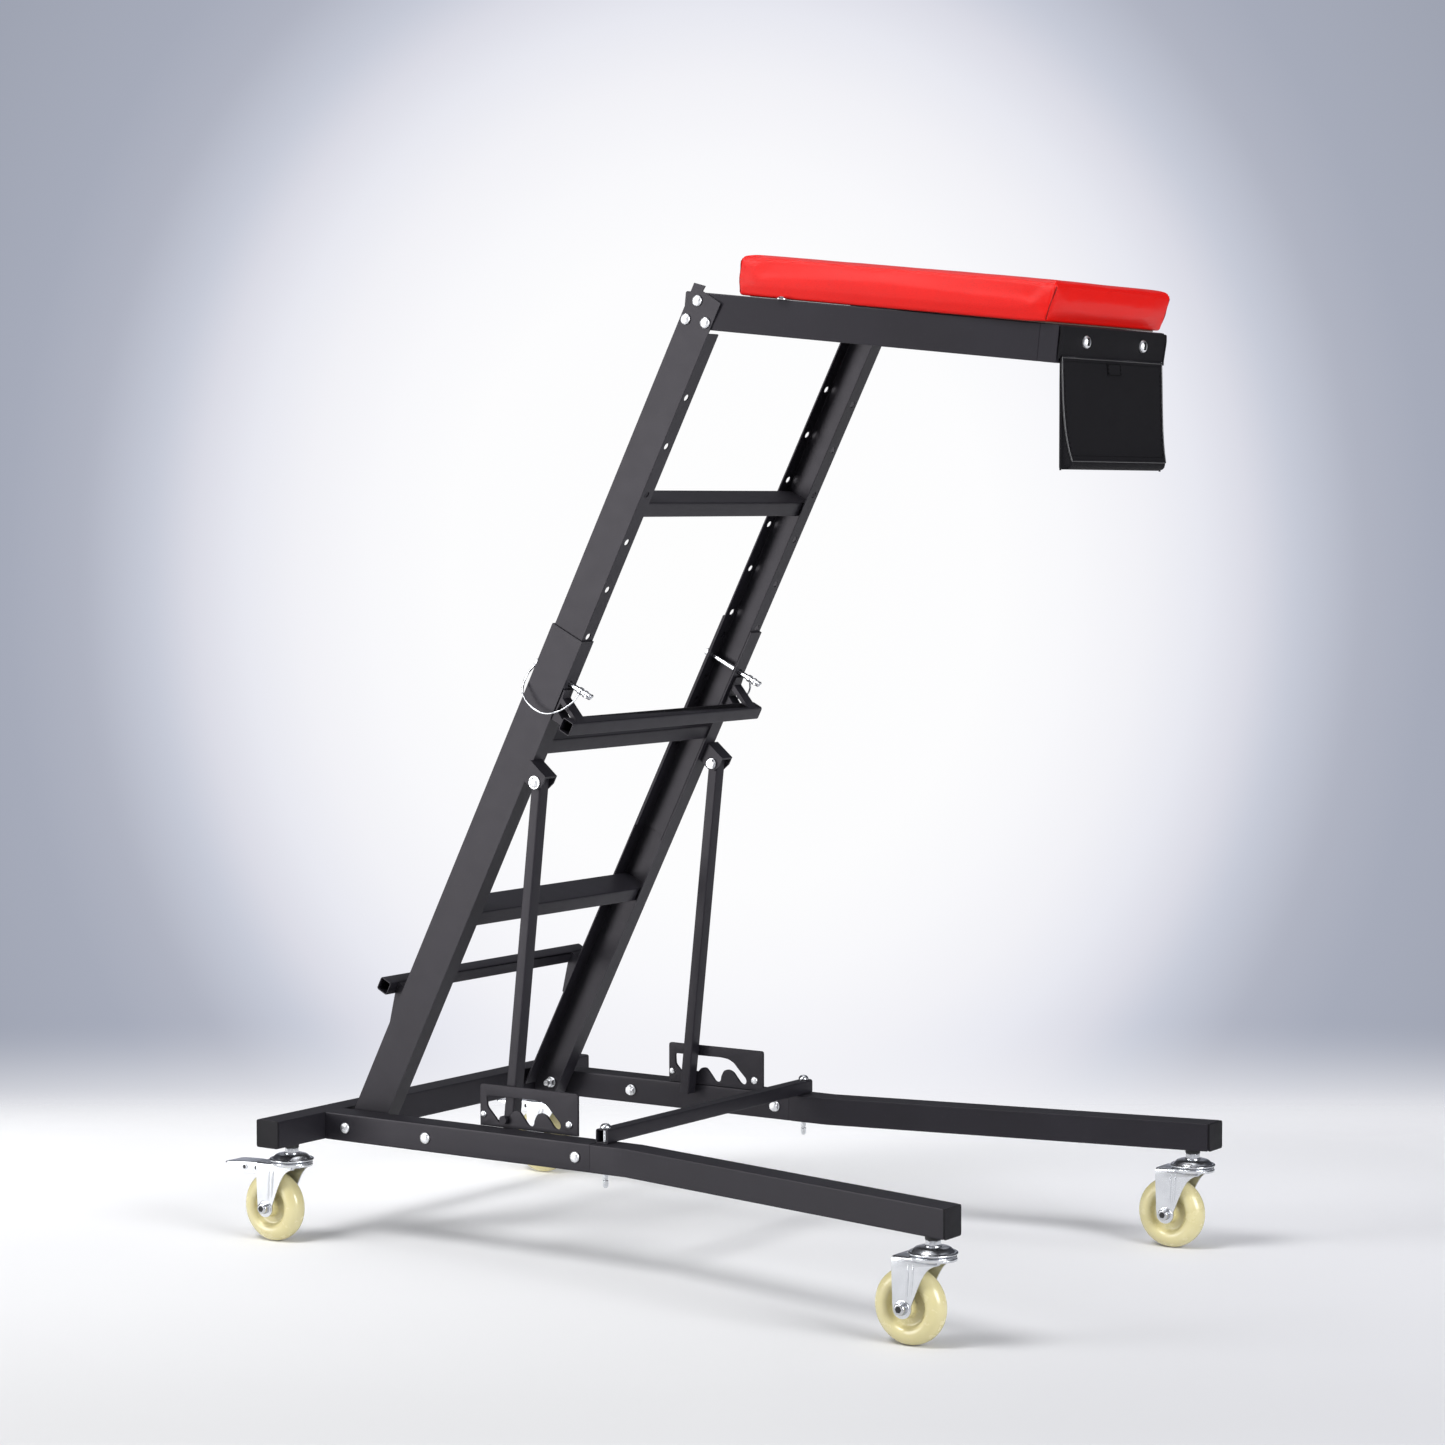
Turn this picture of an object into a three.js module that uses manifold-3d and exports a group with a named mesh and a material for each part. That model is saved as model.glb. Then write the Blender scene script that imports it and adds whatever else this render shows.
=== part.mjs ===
// Foldable topside creeper: a telescoping ladder leaning over a wheeled base, with a padded deck on top.
// Millimetres. +X points the way the deck overhangs, +Z up, the ladder is symmetric about Y = 0.
import * as THREE from 'three';
import { mergeVertices } from 'three/addons/utils/BufferGeometryUtils.js';
import Module from 'manifold-3d';

const wasm = await Module();
wasm.setup();

// ---- driving sizes -------------------------------------------------------
const wheelDiameter = 100; // nylon wheel
const wheelWidth = 32; // across the tread
const casterRise = 44; // top of a wheel to the underside of the frame
const casterTrail = 32; // wheel axle behind the swivel axis
const baseLength = 1101; // front face of the rear beam to the front ends of the legs
const frontTrack = 720; // between the front swivel axes
const beamLength = 746; // rear cross beam
const rearInset = 53; // rear swivel axes inside the beam's ends
const railLength = 470; // rear beam to the leg joint
const tube = 40; // square tube of the base
const tubeWall = 2;
const tubeRound = 3; // outer corner radius of the square tubes
const legStraight = 60; // leg runs straight this far before it splays
const ladderAngle = 63.12; // degrees above the floor
const ladderWidth = 448; // over the lower rails
const ladderClear = 6; // between the ladder and the side rails
const ladderPivotX = 38; // pivot ahead of the rear beam's front face
const lowerRailTop = 802; // along the ladder, from the pivot
const lowerDepth = 56; // channel depth of the lower rails
const lowerFlange = 28;
const channelWall = 2;
const holePitch = 72.7; // lock holes along the upper rails
const lockAt = 735.7; // lock pins along the ladder, from the pivot
const upperStart = 447; // lower ends of the upper rails
const upperTop = 1317; // heads of the upper rails
const stepHeight = 22.5;
const lowerStepAt = 340.7; // undersides of the steps along the ladder
const middleStepAt = 622;
const topStepAt = 989;
const barSize = 20; // square tube of the two cross bars and the brace
const frontBarAt = 679.5;
const rearBarAt = 192.5;
const barOverhang = 11; // cross bars past the ladder, each side
const strutPivotAt = 593; // along the ladder
const strutPivotOut = 20.7; // ahead of the lower rails' front flanges
const strutInset = 6; // strut centre inside the ladder's outer face
const strutDepth = 16; // along X
const strutWidth = 20; // along Y
const notchX = 298.5; // rear notch, where the strut pins rest
const notchPitch = 45;
const plateHeight = 59;
const plateLength = 170;
const deckDroop = 6.07; // degrees, nose down
const deckLength = 519; // from the ladder heads to the front beam's face
const deckNarrowing = 156; // the deck's front is this much narrower than the ladder
const deckHeight = 49;
const deckTube = 25; // width of the deck's rails
const padThickness = 48;
const padInset = 12; // the pad's rear corners inside the ladder's outer faces
const padOverhang = 14; // the pad past the front beam, each side
const padStart = 64; // along the deck
const padCorner = 24; // corner radius in plan
const padUndercut = 14; // the front face leans back this far at its foot
const padLength = 455;
const boardThickness = 6;
const pouchInset = 1; // the pouch inside the front beam's ends
const pouchDrop = 182;
const pocketDrop = 142;
const pocketDepth = 15;

// ---- clearances ----------------------------------------------------------
const gap = 0.3; // between pieces that touch
const slideGap = 0.4; // upper rails inside the lower rails
const holeGap = 0.5; // round a pin or bolt, on the radius
const spinGap = 0.08; // wheel bore round its axle, on the radius

// ---- derived -------------------------------------------------------------
const deg = Math.PI / 180;
const casterHeight = wheelDiameter + casterRise;
const rearTrack = beamLength - 2 * rearInset;
const railSpan = ladderWidth + 2 * (ladderClear + tube);
const barLength = ladderWidth + 2 * barOverhang;
const strutY = ladderWidth / 2 - strutInset;
const deckFrontWidth = ladderWidth - deckNarrowing;
const padRearWidth = ladderWidth - 2 * padInset;
const padFrontWidth = deckFrontWidth + 2 * padOverhang;
const pouchWidth = deckFrontWidth - 2 * pouchInset;
const railBottom = casterHeight;
const railTop = railBottom + tube;
const railOuter = railSpan / 2;
const railInner = railOuter - tube;
const railMid = railOuter - tube / 2;
const ladderHalf = ladderWidth / 2;
const lowerHalf = lowerDepth / 2;
const upperHalf = lowerHalf - channelWall - slideGap;
const upperOuter = ladderHalf - channelWall - slideGap;
const upperFlange = lowerFlange - channelWall - slideGap;
const upperFlangeEnd = upperTop - 51;
const pinY = ladderHalf - lowerFlange / 2;
const pinRadius = 3.8;
const pinHole = pinRadius + 2 * holeGap;
const boltRadius = 4;
const jointX = railLength + 13; // brace pins ahead of the rail ends
const wheelRadius = wheelDiameter / 2;
const legEndCentre = railMid + (frontTrack / 2 - railMid) * (baseLength - railLength - legStraight)
  / (baseLength - 33 - railLength - legStraight);
const group = new THREE.Group();
group.name = 'topside_creeper';

// ---- solids --------------------------------------------------------------
function solid(geometry) {
  const plain = geometry.index ? geometry.toNonIndexed() : geometry.clone();
  plain.deleteAttribute('normal');
  plain.deleteAttribute('uv');
  const merged = mergeVertices(plain, 1e-4);
  const mesh = new wasm.Mesh({
    numProp: 3,
    vertProperties: new Float32Array(merged.attributes.position.array),
    triVerts: new Uint32Array(merged.index.array),
  });
  return new wasm.Manifold(mesh);
}

function geometryOf(manifold) {
  const mesh = manifold.getMesh();
  const geometry = new THREE.BufferGeometry();
  geometry.setAttribute('position', new THREE.BufferAttribute(new Float32Array(mesh.vertProperties), 3));
  geometry.setIndex(new THREE.BufferAttribute(new Uint32Array(mesh.triVerts), 1));
  const flat = geometry.toNonIndexed();
  flat.computeVertexNormals();
  return flat;
}

function join(pieces) {
  return pieces.reduce((all, piece) => all.add(piece));
}

function cut(body, pieces) {
  return pieces.reduce((all, piece) => all.subtract(piece), body);
}

function block(x0, x1, y0, y1, z0, z1) {
  const geometry = new THREE.BoxGeometry(x1 - x0, y1 - y0, z1 - z0);
  geometry.translate((x0 + x1) / 2, (y0 + y1) / 2, (z0 + z1) / 2);
  return solid(geometry);
}

function shapeOf(points) {
  return new THREE.Shape(points.map(([u, v]) => new THREE.Vector2(u, v)));
}

// A prism of an outline in XY, from z0 to z1.
function prismZ(points, z0, z1) {
  const geometry = new THREE.ExtrudeGeometry(shapeOf(points), { depth: z1 - z0, bevelEnabled: false });
  geometry.translate(0, 0, z0);
  return solid(geometry);
}

// A prism of an outline in XZ, from y0 to y1.
function prismY(points, y0, y1) {
  const geometry = new THREE.ExtrudeGeometry(shapeOf(points), { depth: y1 - y0, bevelEnabled: false });
  geometry.rotateX(Math.PI / 2);
  geometry.translate(0, y1, 0);
  return solid(geometry);
}

// A plan-view outline with rounded top and bottom edges.
function cushionZ(points, z0, z1, round, steps) {
  const geometry = new THREE.ExtrudeGeometry(shapeOf(points), {
    depth: z1 - z0 - 2 * round,
    bevelEnabled: true,
    bevelThickness: round,
    bevelSize: round,
    bevelOffset: -round,
    bevelSegments: steps,
    curveSegments: 4,
  });
  geometry.translate(0, 0, z0 + round);
  return solid(geometry);
}

function rodZ(x, y, z0, z1, radius, sides = 16) {
  const geometry = new THREE.CylinderGeometry(radius, radius, z1 - z0, sides);
  geometry.rotateX(Math.PI / 2);
  geometry.translate(x, y, (z0 + z1) / 2);
  return solid(geometry);
}

function rodY(x, z, y0, y1, radius, sides = 24) {
  const geometry = new THREE.CylinderGeometry(radius, radius, y1 - y0, sides);
  geometry.translate(x, (y0 + y1) / 2, z);
  return solid(geometry);
}

function rodX(y, z, x0, x1, radius, sides = 24) {
  const geometry = new THREE.CylinderGeometry(radius, radius, x1 - x0, sides);
  geometry.rotateZ(Math.PI / 2);
  geometry.translate((x0 + x1) / 2, y, z);
  return solid(geometry);
}

// A body of revolution about Z from (radius, height) points.
function latheZ(profile, sides) {
  const geometry = new THREE.LatheGeometry(profile.map(([r, z]) => new THREE.Vector2(r, z)), sides);
  geometry.rotateX(Math.PI / 2);
  return solid(geometry);
}

function rounded(width, height, radius, steps) {
  const points = [];
  for (const [sx, sy, start] of [[1, 1, 0], [-1, 1, 90], [-1, -1, 180], [1, -1, 270]]) {
    for (let i = 0; i <= steps; i += 1) {
      const turn = (start + (90 * i) / steps) * deg;
      const cx = sx * (width / 2 - radius);
      const cy = sy * (height / 2 - radius);
      points.push([cx + radius * Math.cos(turn), cy + radius * Math.sin(turn)]);
    }
  }
  return points;
}

// A square or flat tube along X, open at both ends.
function tubeX(x0, x1, y, z, width, height, wall) {
  const outer = prismZ(rounded(width, height, tubeRound, 2), 0, x1 - x0);
  const bore = prismZ(rounded(width - 2 * wall, height - 2 * wall, 1, 1), -1, x1 - x0 + 1);
  return outer.subtract(bore).rotate([90, 0, 90]).translate([x0, y, z]);
}

function tubeY(y0, y1, x, z, width, height, wall) {
  const outer = prismZ(rounded(width, height, tubeRound, 2), 0, y1 - y0);
  const bore = prismZ(rounded(width - 2 * wall, height - 2 * wall, 1, 1), -1, y1 - y0 + 1);
  return outer.subtract(bore).rotate([-90, 0, 0]).translate([x, y0, z]);
}

function plugX(x0, x1, y, z, width, height) {
  return prismZ(rounded(width, height, tubeRound, 2), 0, x1 - x0).rotate([90, 0, 90]).translate([x0, y, z]);
}

function plugY(y0, y1, x, z, width, height) {
  return prismZ(rounded(width, height, tubeRound, 2), 0, y1 - y0).rotate([-90, 0, 0]).translate([x, y0, z]);
}

function mirrorY(body) {
  return body.mirror([0, 1, 0]);
}

const black = { color: 0x18171a, roughness: 0.45, metalness: 0.1 };
const zinc = { color: 0xc9ccd0, roughness: 0.3, metalness: 0.9 };
const steel = { color: 0xdadbdc, roughness: 0.25, metalness: 0.9 };
const nylon = { color: 0xe8e0b0, roughness: 0.3, metalness: 0 };
const rubber = { color: 0x0d0d0e, roughness: 0.6, metalness: 0 };
const vinyl = { color: 0xe0251f, roughness: 0.45, metalness: 0 };
const cloth = { color: 0x121214, roughness: 0.9, metalness: 0 };
const board = { color: 0x1b1a19, roughness: 0.8, metalness: 0 };

function add(name, body, finish) {
  const mesh = new THREE.Mesh(geometryOf(body), new THREE.MeshStandardMaterial(finish));
  mesh.name = name;
  group.add(mesh);
}

// The near piece is on the -Y side, and its mirror image is the far piece.
function addPair(name, body, finish) {
  add(`${name}_near`, body, finish);
  add(`${name}_far`, mirrorY(body), finish);
}

// ---- base ----------------------------------------------------------------
const beamX = -tube / 2;
const beamZ = railBottom + tube / 2;
const capSkin = 3;
const beamEnd = beamLength / 2 - capSkin;
const studHole = 5.6;
const beamHoles = [-1, 1].map((side) => rodZ(beamX, (side * rearTrack) / 2, railBottom - 1,
  railBottom + tubeWall + 1, studHole));
add('rear_beam', cut(tubeY(-beamEnd, beamEnd, beamX, beamZ, tube, tube, tubeWall), beamHoles), black);

const capPlug = tube - 2 * tubeWall - 2 * gap;
const beamCap = join([
  plugY(-beamLength / 2, -beamEnd - gap, beamX, beamZ, tube, tube),
  plugY(-beamEnd - gap - 1, -beamEnd + 12, beamX, beamZ, capPlug, capPlug),
]);
addPair('beam_cap', beamCap, rubber);

const railHoles = [
  rodY(ladderPivotX, beamZ, -railOuter - 1, -railInner + 1, boltRadius + holeGap, 16),
  rodY(railLength - 24, beamZ, -railOuter - 1, -railInner + 1, boltRadius + holeGap, 16),
];
const sideRail = cut(tubeX(gap, railLength, -railMid, beamZ, tube, tube, tubeWall), railHoles);
addPair('side_rail', sideRail, black);

// Each leg: a spigot inside the rail, a straight piece, then a splayed piece.
const splayX = railLength + legStraight;
const splayRun = baseLength - capSkin - splayX;
const splay = Math.atan((legEndCentre - railMid) / (baseLength - splayX));
const half = tube / 2;
const bendIn = half * Math.tan(splay / 2);
const legX0 = railLength + gap;

function legOutline(halfWidth, x0, x1) {
  const offset = halfWidth / Math.cos(splay);
  const slope = Math.tan(splay);
  const bend = halfWidth * Math.tan(splay / 2);
  const endY = railMid + (x1 - splayX) * slope;
  return [
    [x0, -(railMid + halfWidth)],
    [splayX - bend, -(railMid + halfWidth)],
    [x1, -(endY + offset)],
    [x1, -(endY - offset)],
    [splayX + bend, -(railMid - halfWidth)],
    [x0, -(railMid - halfWidth)],
  ].reverse();
}

const legX1 = baseLength - capSkin;
const spigotHalf = half - tubeWall - gap;
const spigot = 60; // length inside the side rail
const pinHoleY = -railMid;
const leg = cut(
  join([
    cushionZ(legOutline(half, legX0, legX1).reverse(), railBottom, railTop, 2.5, 2),
    plugX(railLength - spigot, legX0 + 4, -railMid, beamZ, 2 * spigotHalf, 2 * spigotHalf),
  ]),
  [
    prismZ(legOutline(half - tubeWall, legX0 + 6, legX1 + 5), railBottom + tubeWall, railTop - tubeWall),
    block(railLength - spigot - 5, legX0 + 8, -(railMid + spigotHalf - 2), -(railMid - spigotHalf + 2),
      railBottom + 2 * tubeWall + gap, railTop - 2 * tubeWall - gap),
    rodY(railLength - 24, beamZ, -railOuter - 1, -railInner + 1, boltRadius + holeGap, 16),
    rodZ(jointX, pinHoleY, railBottom - 1, railTop + 1, pinHole),
    rodZ(baseLength - 33, -frontTrack / 2, railBottom - 1, railBottom + tubeWall + 1, studHole),
  ],
);
addPair('leg', leg, black);

const capOut = tube / Math.cos(splay);
const legCap = join([
  plugX(legX1 + gap, baseLength, -legEndCentre, beamZ, capOut, tube),
  plugX(legX1 - 10, legX1 + gap + 1, -(legEndCentre - 5 * Math.tan(splay)), beamZ, capPlug - 4, capPlug),
]);
addPair('leg_cap', legCap, rubber);

const braceHalf = railMid + 9;
const braceZ = railTop + gap + barSize / 2;
const brace = cut(tubeY(-braceHalf, braceHalf, jointX, braceZ, barSize, barSize, 1.6), [
  rodZ(jointX, -railMid, railTop, railTop + barSize + 2, pinHole),
  rodZ(jointX, railMid, railTop, railTop + barSize + 2, pinHole),
]);
add('cross_brace', brace, black);

const braceTop = railTop + gap + barSize;
const bracePin = latheZ([
  [0, railBottom - 22],
  [pinRadius - 1.2, railBottom - 22],
  [pinRadius, railBottom - 20],
  [pinRadius, braceTop + gap],
  [7.5, braceTop + gap],
  [7.5, braceTop + 3],
  [5.5, braceTop + 6],
  [0, braceTop + 7],
], 24).translate([jointX, -railMid, 0]);
addPair('brace_pin', bracePin, zinc);

// ---- slotted strut plates ------------------------------------------------
const plateT = 4;
const plateY0 = -(railInner + plateT);
const plateY1 = -railInner;
const plateX0 = notchX - 44.5;
const plateX1 = plateX0 + plateLength;
const plateZ0 = railTop + gap;
const plateZ1 = plateZ0 + plateHeight;
const channelZ0 = plateZ0 + 28;
const channelZ1 = plateZ0 + 44;
const notchRadius = 5.6;
const notchZ = railTop + 12;
const notchLean = 0.87; // rearward run per unit of rise
const notchRise = channelZ0 - notchZ + 5;
const slotX0 = notchX - notchRise * notchLean - notchRadius - 4;
const slotX1 = notchX + 2 * notchPitch - (channelZ1 - notchZ) * notchLean + 14;
const slot = [prismY([
  [slotX0, channelZ0 + 3],
  [slotX0 + 3, channelZ0],
  [slotX1, channelZ0],
  [slotX1 + 4, channelZ0 + 2],
  [slotX1 - 3, channelZ1],
  [slotX0 + 3, channelZ1],
  [slotX0, channelZ1 - 3],
], plateY0 - 1, plateY1 + 1)];
for (let i = 0; i < 3; i += 1) {
  const x = notchX + i * notchPitch;
  const length = Math.hypot(notchRise * notchLean, notchRise);
  const ux = (notchRise * notchLean) / length;
  const uz = notchRise / length;
  slot.push(rodY(x, notchZ, plateY0 - 1, plateY1 + 1, notchRadius, 20));
  slot.push(prismY([
    [x - uz * notchRadius, notchZ - ux * notchRadius],
    [x + uz * notchRadius, notchZ + ux * notchRadius],
    [x + uz * notchRadius - ux * length, notchZ + ux * notchRadius + uz * length],
    [x - uz * notchRadius - ux * length, notchZ - ux * notchRadius + uz * length],
  ], plateY0 - 1, plateY1 + 1));
}
const plateOutline = [
  [plateX0, plateZ0],
  [plateX1, plateZ0],
  [plateX1, plateZ1 - 3],
  [plateX1 - 3, plateZ1],
  [plateX0 + 3, plateZ1],
  [plateX0, plateZ1 - 3],
];
addPair('slot_plate', cut(prismY(plateOutline, plateY0, plateY1), slot), black);

// ---- bolts of the base ---------------------------------------------------
function domeHeadY(x, y, z, radius, height) {
  return latheZ([[0, 0], [radius, 0], [radius, height * 0.4], [radius * 0.6, height * 0.85], [0, height]], 16)
    .rotate([90, 0, 0])
    .translate([x, y, z]);
}

function nutY(x, y, z, acrossCorners, height) {
  return rodY(x, z, y, y + height, acrossCorners / 2, 6);
}

const pivotBolt = join([
  domeHeadY(ladderPivotX, -railOuter - gap, beamZ, 8, 5),
  rodY(ladderPivotX, beamZ, -railOuter - gap - 1, -ladderHalf + 16, boltRadius, 16),
  nutY(ladderPivotX, -ladderHalf + channelWall + gap, beamZ, 15, 7),
]);
addPair('ladder_pivot_bolt', pivotBolt, zinc);

const legBolt = join([
  domeHeadY(railLength - 24, -railOuter - gap, beamZ, 8, 5),
  rodY(railLength - 24, beamZ, -railOuter - gap - 1, -railInner + 9, boltRadius, 16),
  nutY(railLength - 24, -railInner + gap, beamZ, 15, 6.5),
]);
addPair('leg_bolt', legBolt, zinc);

// ---- casters -------------------------------------------------------------
const raceZ = casterHeight - 26;
const forkZ = raceZ - 6;
const kingpin = 6;
const stud = latheZ([
  [0, forkZ - 4],
  [kingpin + 3, forkZ - 4],
  [kingpin + 3, forkZ - 0.5],
  [kingpin, forkZ - 0.5],
  [kingpin, raceZ + 1],
  [31, raceZ + 1],
  [32, raceZ + 3],
  [28, raceZ + 8],
  [8, raceZ + 12],
  [8, casterHeight - gap],
  [5, casterHeight - gap],
  [5, casterHeight + 14],
  [0, casterHeight + 14],
], 24);

const treadHalf = wheelWidth / 2;
const forkHalf = treadHalf + 4.5;
const forkWall = 2.5;
const axleX = -casterTrail;
const legSide = [
  [axleX - 15, forkZ + 2],
  [axleX - 14, wheelRadius + 2],
  [axleX - 9, wheelRadius - 9],
  [axleX, wheelRadius - 13],
  [axleX + 9, wheelRadius - 9],
  [axleX + 14, wheelRadius + 3],
  [axleX + 26, wheelRadius + 44],
  [axleX + 36, wheelRadius + 50],
  [26, forkZ - 8],
  [32, forkZ],
  [32, forkZ + 2],
];
const forkPlate = prismZ([
  [axleX - 15, -(forkHalf + forkWall)],
  [16, -(forkHalf + forkWall)],
  [27, -18],
  [32, -8],
  [32, 8],
  [27, 18],
  [16, forkHalf + forkWall],
  [axleX - 15, forkHalf + forkWall],
], forkZ, forkZ + 3.5);
const forkSides = [];
for (const side of [-1, 1]) {
  const inner = side > 0 ? forkHalf : -(forkHalf + forkWall);
  const outerY = side * (forkHalf + forkWall);
  forkSides.push(prismY(legSide.slice().reverse(), inner, inner + forkWall));
  forkSides.push(prismY([
    [axleX - 1, wheelRadius + 18],
    [axleX + 7, wheelRadius + 18],
    [axleX + 7, forkZ],
    [axleX - 1, forkZ],
  ].reverse(), Math.min(outerY, outerY + side * 1.6) - 0.2, Math.max(outerY, outerY + side * 1.6) + 0.2));
}
const axleRadius = 4;
const fork = cut(join([forkPlate, ...forkSides]), [
  rodZ(0, 0, forkZ - 1, forkZ + 5, kingpin + holeGap),
  rodY(axleX, wheelRadius, -40, 40, axleRadius + gap, 20),
]);
const axle = join([
  rodY(axleX, wheelRadius, -30, 31, axleRadius, 24),
  nutY(axleX, -(forkHalf + forkWall) - gap - 5, wheelRadius, 14, 5),
  nutY(axleX, forkHalf + forkWall + gap, wheelRadius, 14, 6),
]);
const hubHalf = forkHalf - 2;
const bore = axleRadius + spinGap;
const wheelProfile = [
  [bore, hubHalf],
  [bore, -hubHalf],
  [13, -hubHalf],
  [14, -7],
  [0.68 * wheelRadius, -7],
  [0.74 * wheelRadius, -treadHalf],
  [0.9 * wheelRadius, -treadHalf + 1],
  [wheelRadius, -treadHalf * 0.4],
  [wheelRadius, treadHalf * 0.4],
  [0.9 * wheelRadius, treadHalf - 1],
  [0.74 * wheelRadius, treadHalf],
  [0.68 * wheelRadius, 7],
  [14, 7],
  [13, hubHalf],
  [bore, hubHalf],
];
const wheel = latheZ(wheelProfile, 36).rotate([90, 0, 0]).translate([axleX, 0, wheelRadius]);

// The brake pedal lies under the fork's plate, hinged on a pin between its sides.
const pedalX = axleX - 6;
const pedalZ = forkZ - 6;
const pedalTip = axleX - 96;
const pedal = join([
  prismZ([
    [pedalX + 4, -13],
    [pedalX + 4, 13],
    [pedalX - 26, 15],
    [pedalX - 48, 17],
    [pedalTip + 12, 17],
    [pedalTip, 8],
    [pedalTip, -8],
    [pedalTip + 12, -17],
    [pedalX - 48, -17],
    [pedalX - 26, -15],
  ].reverse(), pedalZ - 1, pedalZ + 1.5),
  prismY([
    [pedalX - 12, pedalZ - 0.5],
    [pedalTip + 16, pedalZ - 0.5],
    [pedalTip + 30, pedalZ - 9],
    [pedalX - 30, pedalZ - 9],
    [pedalX - 12, pedalZ - 3],
  ], -14, -11.5),
  prismY([
    [pedalX - 12, pedalZ - 0.5],
    [pedalTip + 16, pedalZ - 0.5],
    [pedalTip + 30, pedalZ - 9],
    [pedalX - 30, pedalZ - 9],
    [pedalX - 12, pedalZ - 3],
  ], 11.5, 14),
  rodY(pedalX, pedalZ, -forkHalf + gap, forkHalf - gap, 3, 16),
]);

const casterPlaces = [
  ['rear_near', beamX, -rearTrack / 2],
  ['rear_far', beamX, rearTrack / 2],
  ['front_near', baseLength - 33, -frontTrack / 2],
  ['front_far', baseLength - 33, frontTrack / 2],
];
for (const [place, x, y] of casterPlaces) {
  add(`caster_stem_${place}`, stud.translate([x, y, 0]), zinc);
  add(`caster_fork_${place}`, fork.translate([x, y, 0]), zinc);
  add(`caster_axle_${place}`, axle.translate([x, y, 0]), steel);
  add(`caster_wheel_${place}`, wheel.translate([x, y, 0]), nylon);
  if (place.startsWith('rear')) {
    add(`brake_pedal_${place}`, pedal.translate([x, y, 0]), zinc);
  }
}

// ---- ladder frame: X across the rails' depth (forward), Z along the rails, origin on the foot pivot ----
const lean = 90 - ladderAngle;
function onLadder(body) {
  return body.rotate([0, lean, 0]).translate([ladderPivotX, 0, beamZ]);
}

function channel(halfDepth, outer, flange, z0, z1) {
  const wall = channelWall;
  return prismZ([
    [-halfDepth, -outer],
    [halfDepth, -outer],
    [halfDepth, -outer + flange],
    [halfDepth - wall, -outer + flange],
    [halfDepth - wall, -outer + wall],
    [-halfDepth + wall, -outer + wall],
    [-halfDepth + wall, -outer + flange],
    [-halfDepth, -outer + flange],
  ], z0, z1);
}

const lowerEnd = -16;
const lowerRail = cut(channel(lowerHalf, ladderHalf, lowerFlange, lowerEnd, lowerRailTop), [
  rodX(-pinY, lockAt, -lowerHalf - 1, lowerHalf + 1, pinHole, 16),
  rodY(0, 0, -ladderHalf - 1, -ladderHalf + 4, boltRadius + holeGap),
]);
addPair('lower_rail', onLadder(lowerRail), black);

const stepInset = 3;
const lowerStepHalf = ladderHalf - channelWall - gap;
function step(halfLength, halfDepth, z0) {
  return tubeY(-halfLength, halfLength, 0, z0 + stepHeight / 2, 2 * halfDepth, stepHeight, 1.6);
}
add('lower_step', onLadder(step(lowerStepHalf, lowerHalf - channelWall - stepInset, lowerStepAt)), black);

// The two cross bars of the lower ladder stand clear of the sliding upper rails on welded hangers.
const frontBarX = lowerHalf + 35.5;
const hangerT = 3;
const hangerWidth = 20;
const hangerY = ladderHalf - lowerFlange / 2 + 2; // centre of the hangers
const frontHanger = prismY([
  [lowerHalf + gap, lockAt - 8],
  [lowerHalf + gap + hangerT, lockAt - 7],
  [lowerHalf + gap + hangerT + 1, frontBarAt + 37],
  [frontBarX + 7, frontBarAt + barSize],
  [frontBarX - 4, frontBarAt + barSize - 1],
  [lowerHalf + gap + hangerT + 1, frontBarAt + 29],
  [lowerHalf + gap + hangerT, frontBarAt + 18],
  [frontBarX - 9, frontBarAt + 6],
  [frontBarX - 9, frontBarAt + 2],
  [lowerHalf + gap, frontBarAt + 2],
].reverse(), -hangerY - hangerWidth / 2, -hangerY + hangerWidth / 2);
const frontBar = join([
  tubeY(-barLength / 2, barLength / 2, frontBarX, frontBarAt + barSize / 2, barSize, barSize, 1.6),
  frontHanger,
  mirrorY(frontHanger),
]);
add('front_cross_bar', onLadder(frontBar), black);

const rearBarX = -lowerHalf - 24;
const rearHanger = prismY([
  [-lowerHalf - gap, rearBarAt + 16],
  [-lowerHalf - gap - hangerT, rearBarAt + 18],
  [rearBarX + 9, rearBarAt + 19],
  [rearBarX + 9, rearBarAt + 4],
  [rearBarX + 14, rearBarAt - 16],
  [-lowerHalf - gap - hangerT, rearBarAt - 44],
  [-lowerHalf - gap, rearBarAt - 44],
].reverse(), -hangerY - hangerWidth / 2 + 4, -hangerY + hangerWidth / 2 + 4);
const rearBarHalf = barLength / 2 + 2;
const rearBar = join([
  tubeY(-rearBarHalf, rearBarHalf, rearBarX, rearBarAt + barSize / 2, barSize, barSize, 1.6),
  rearHanger,
  mirrorY(rearHanger),
]);
add('rear_cross_bar', onLadder(rearBar), black);

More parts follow.
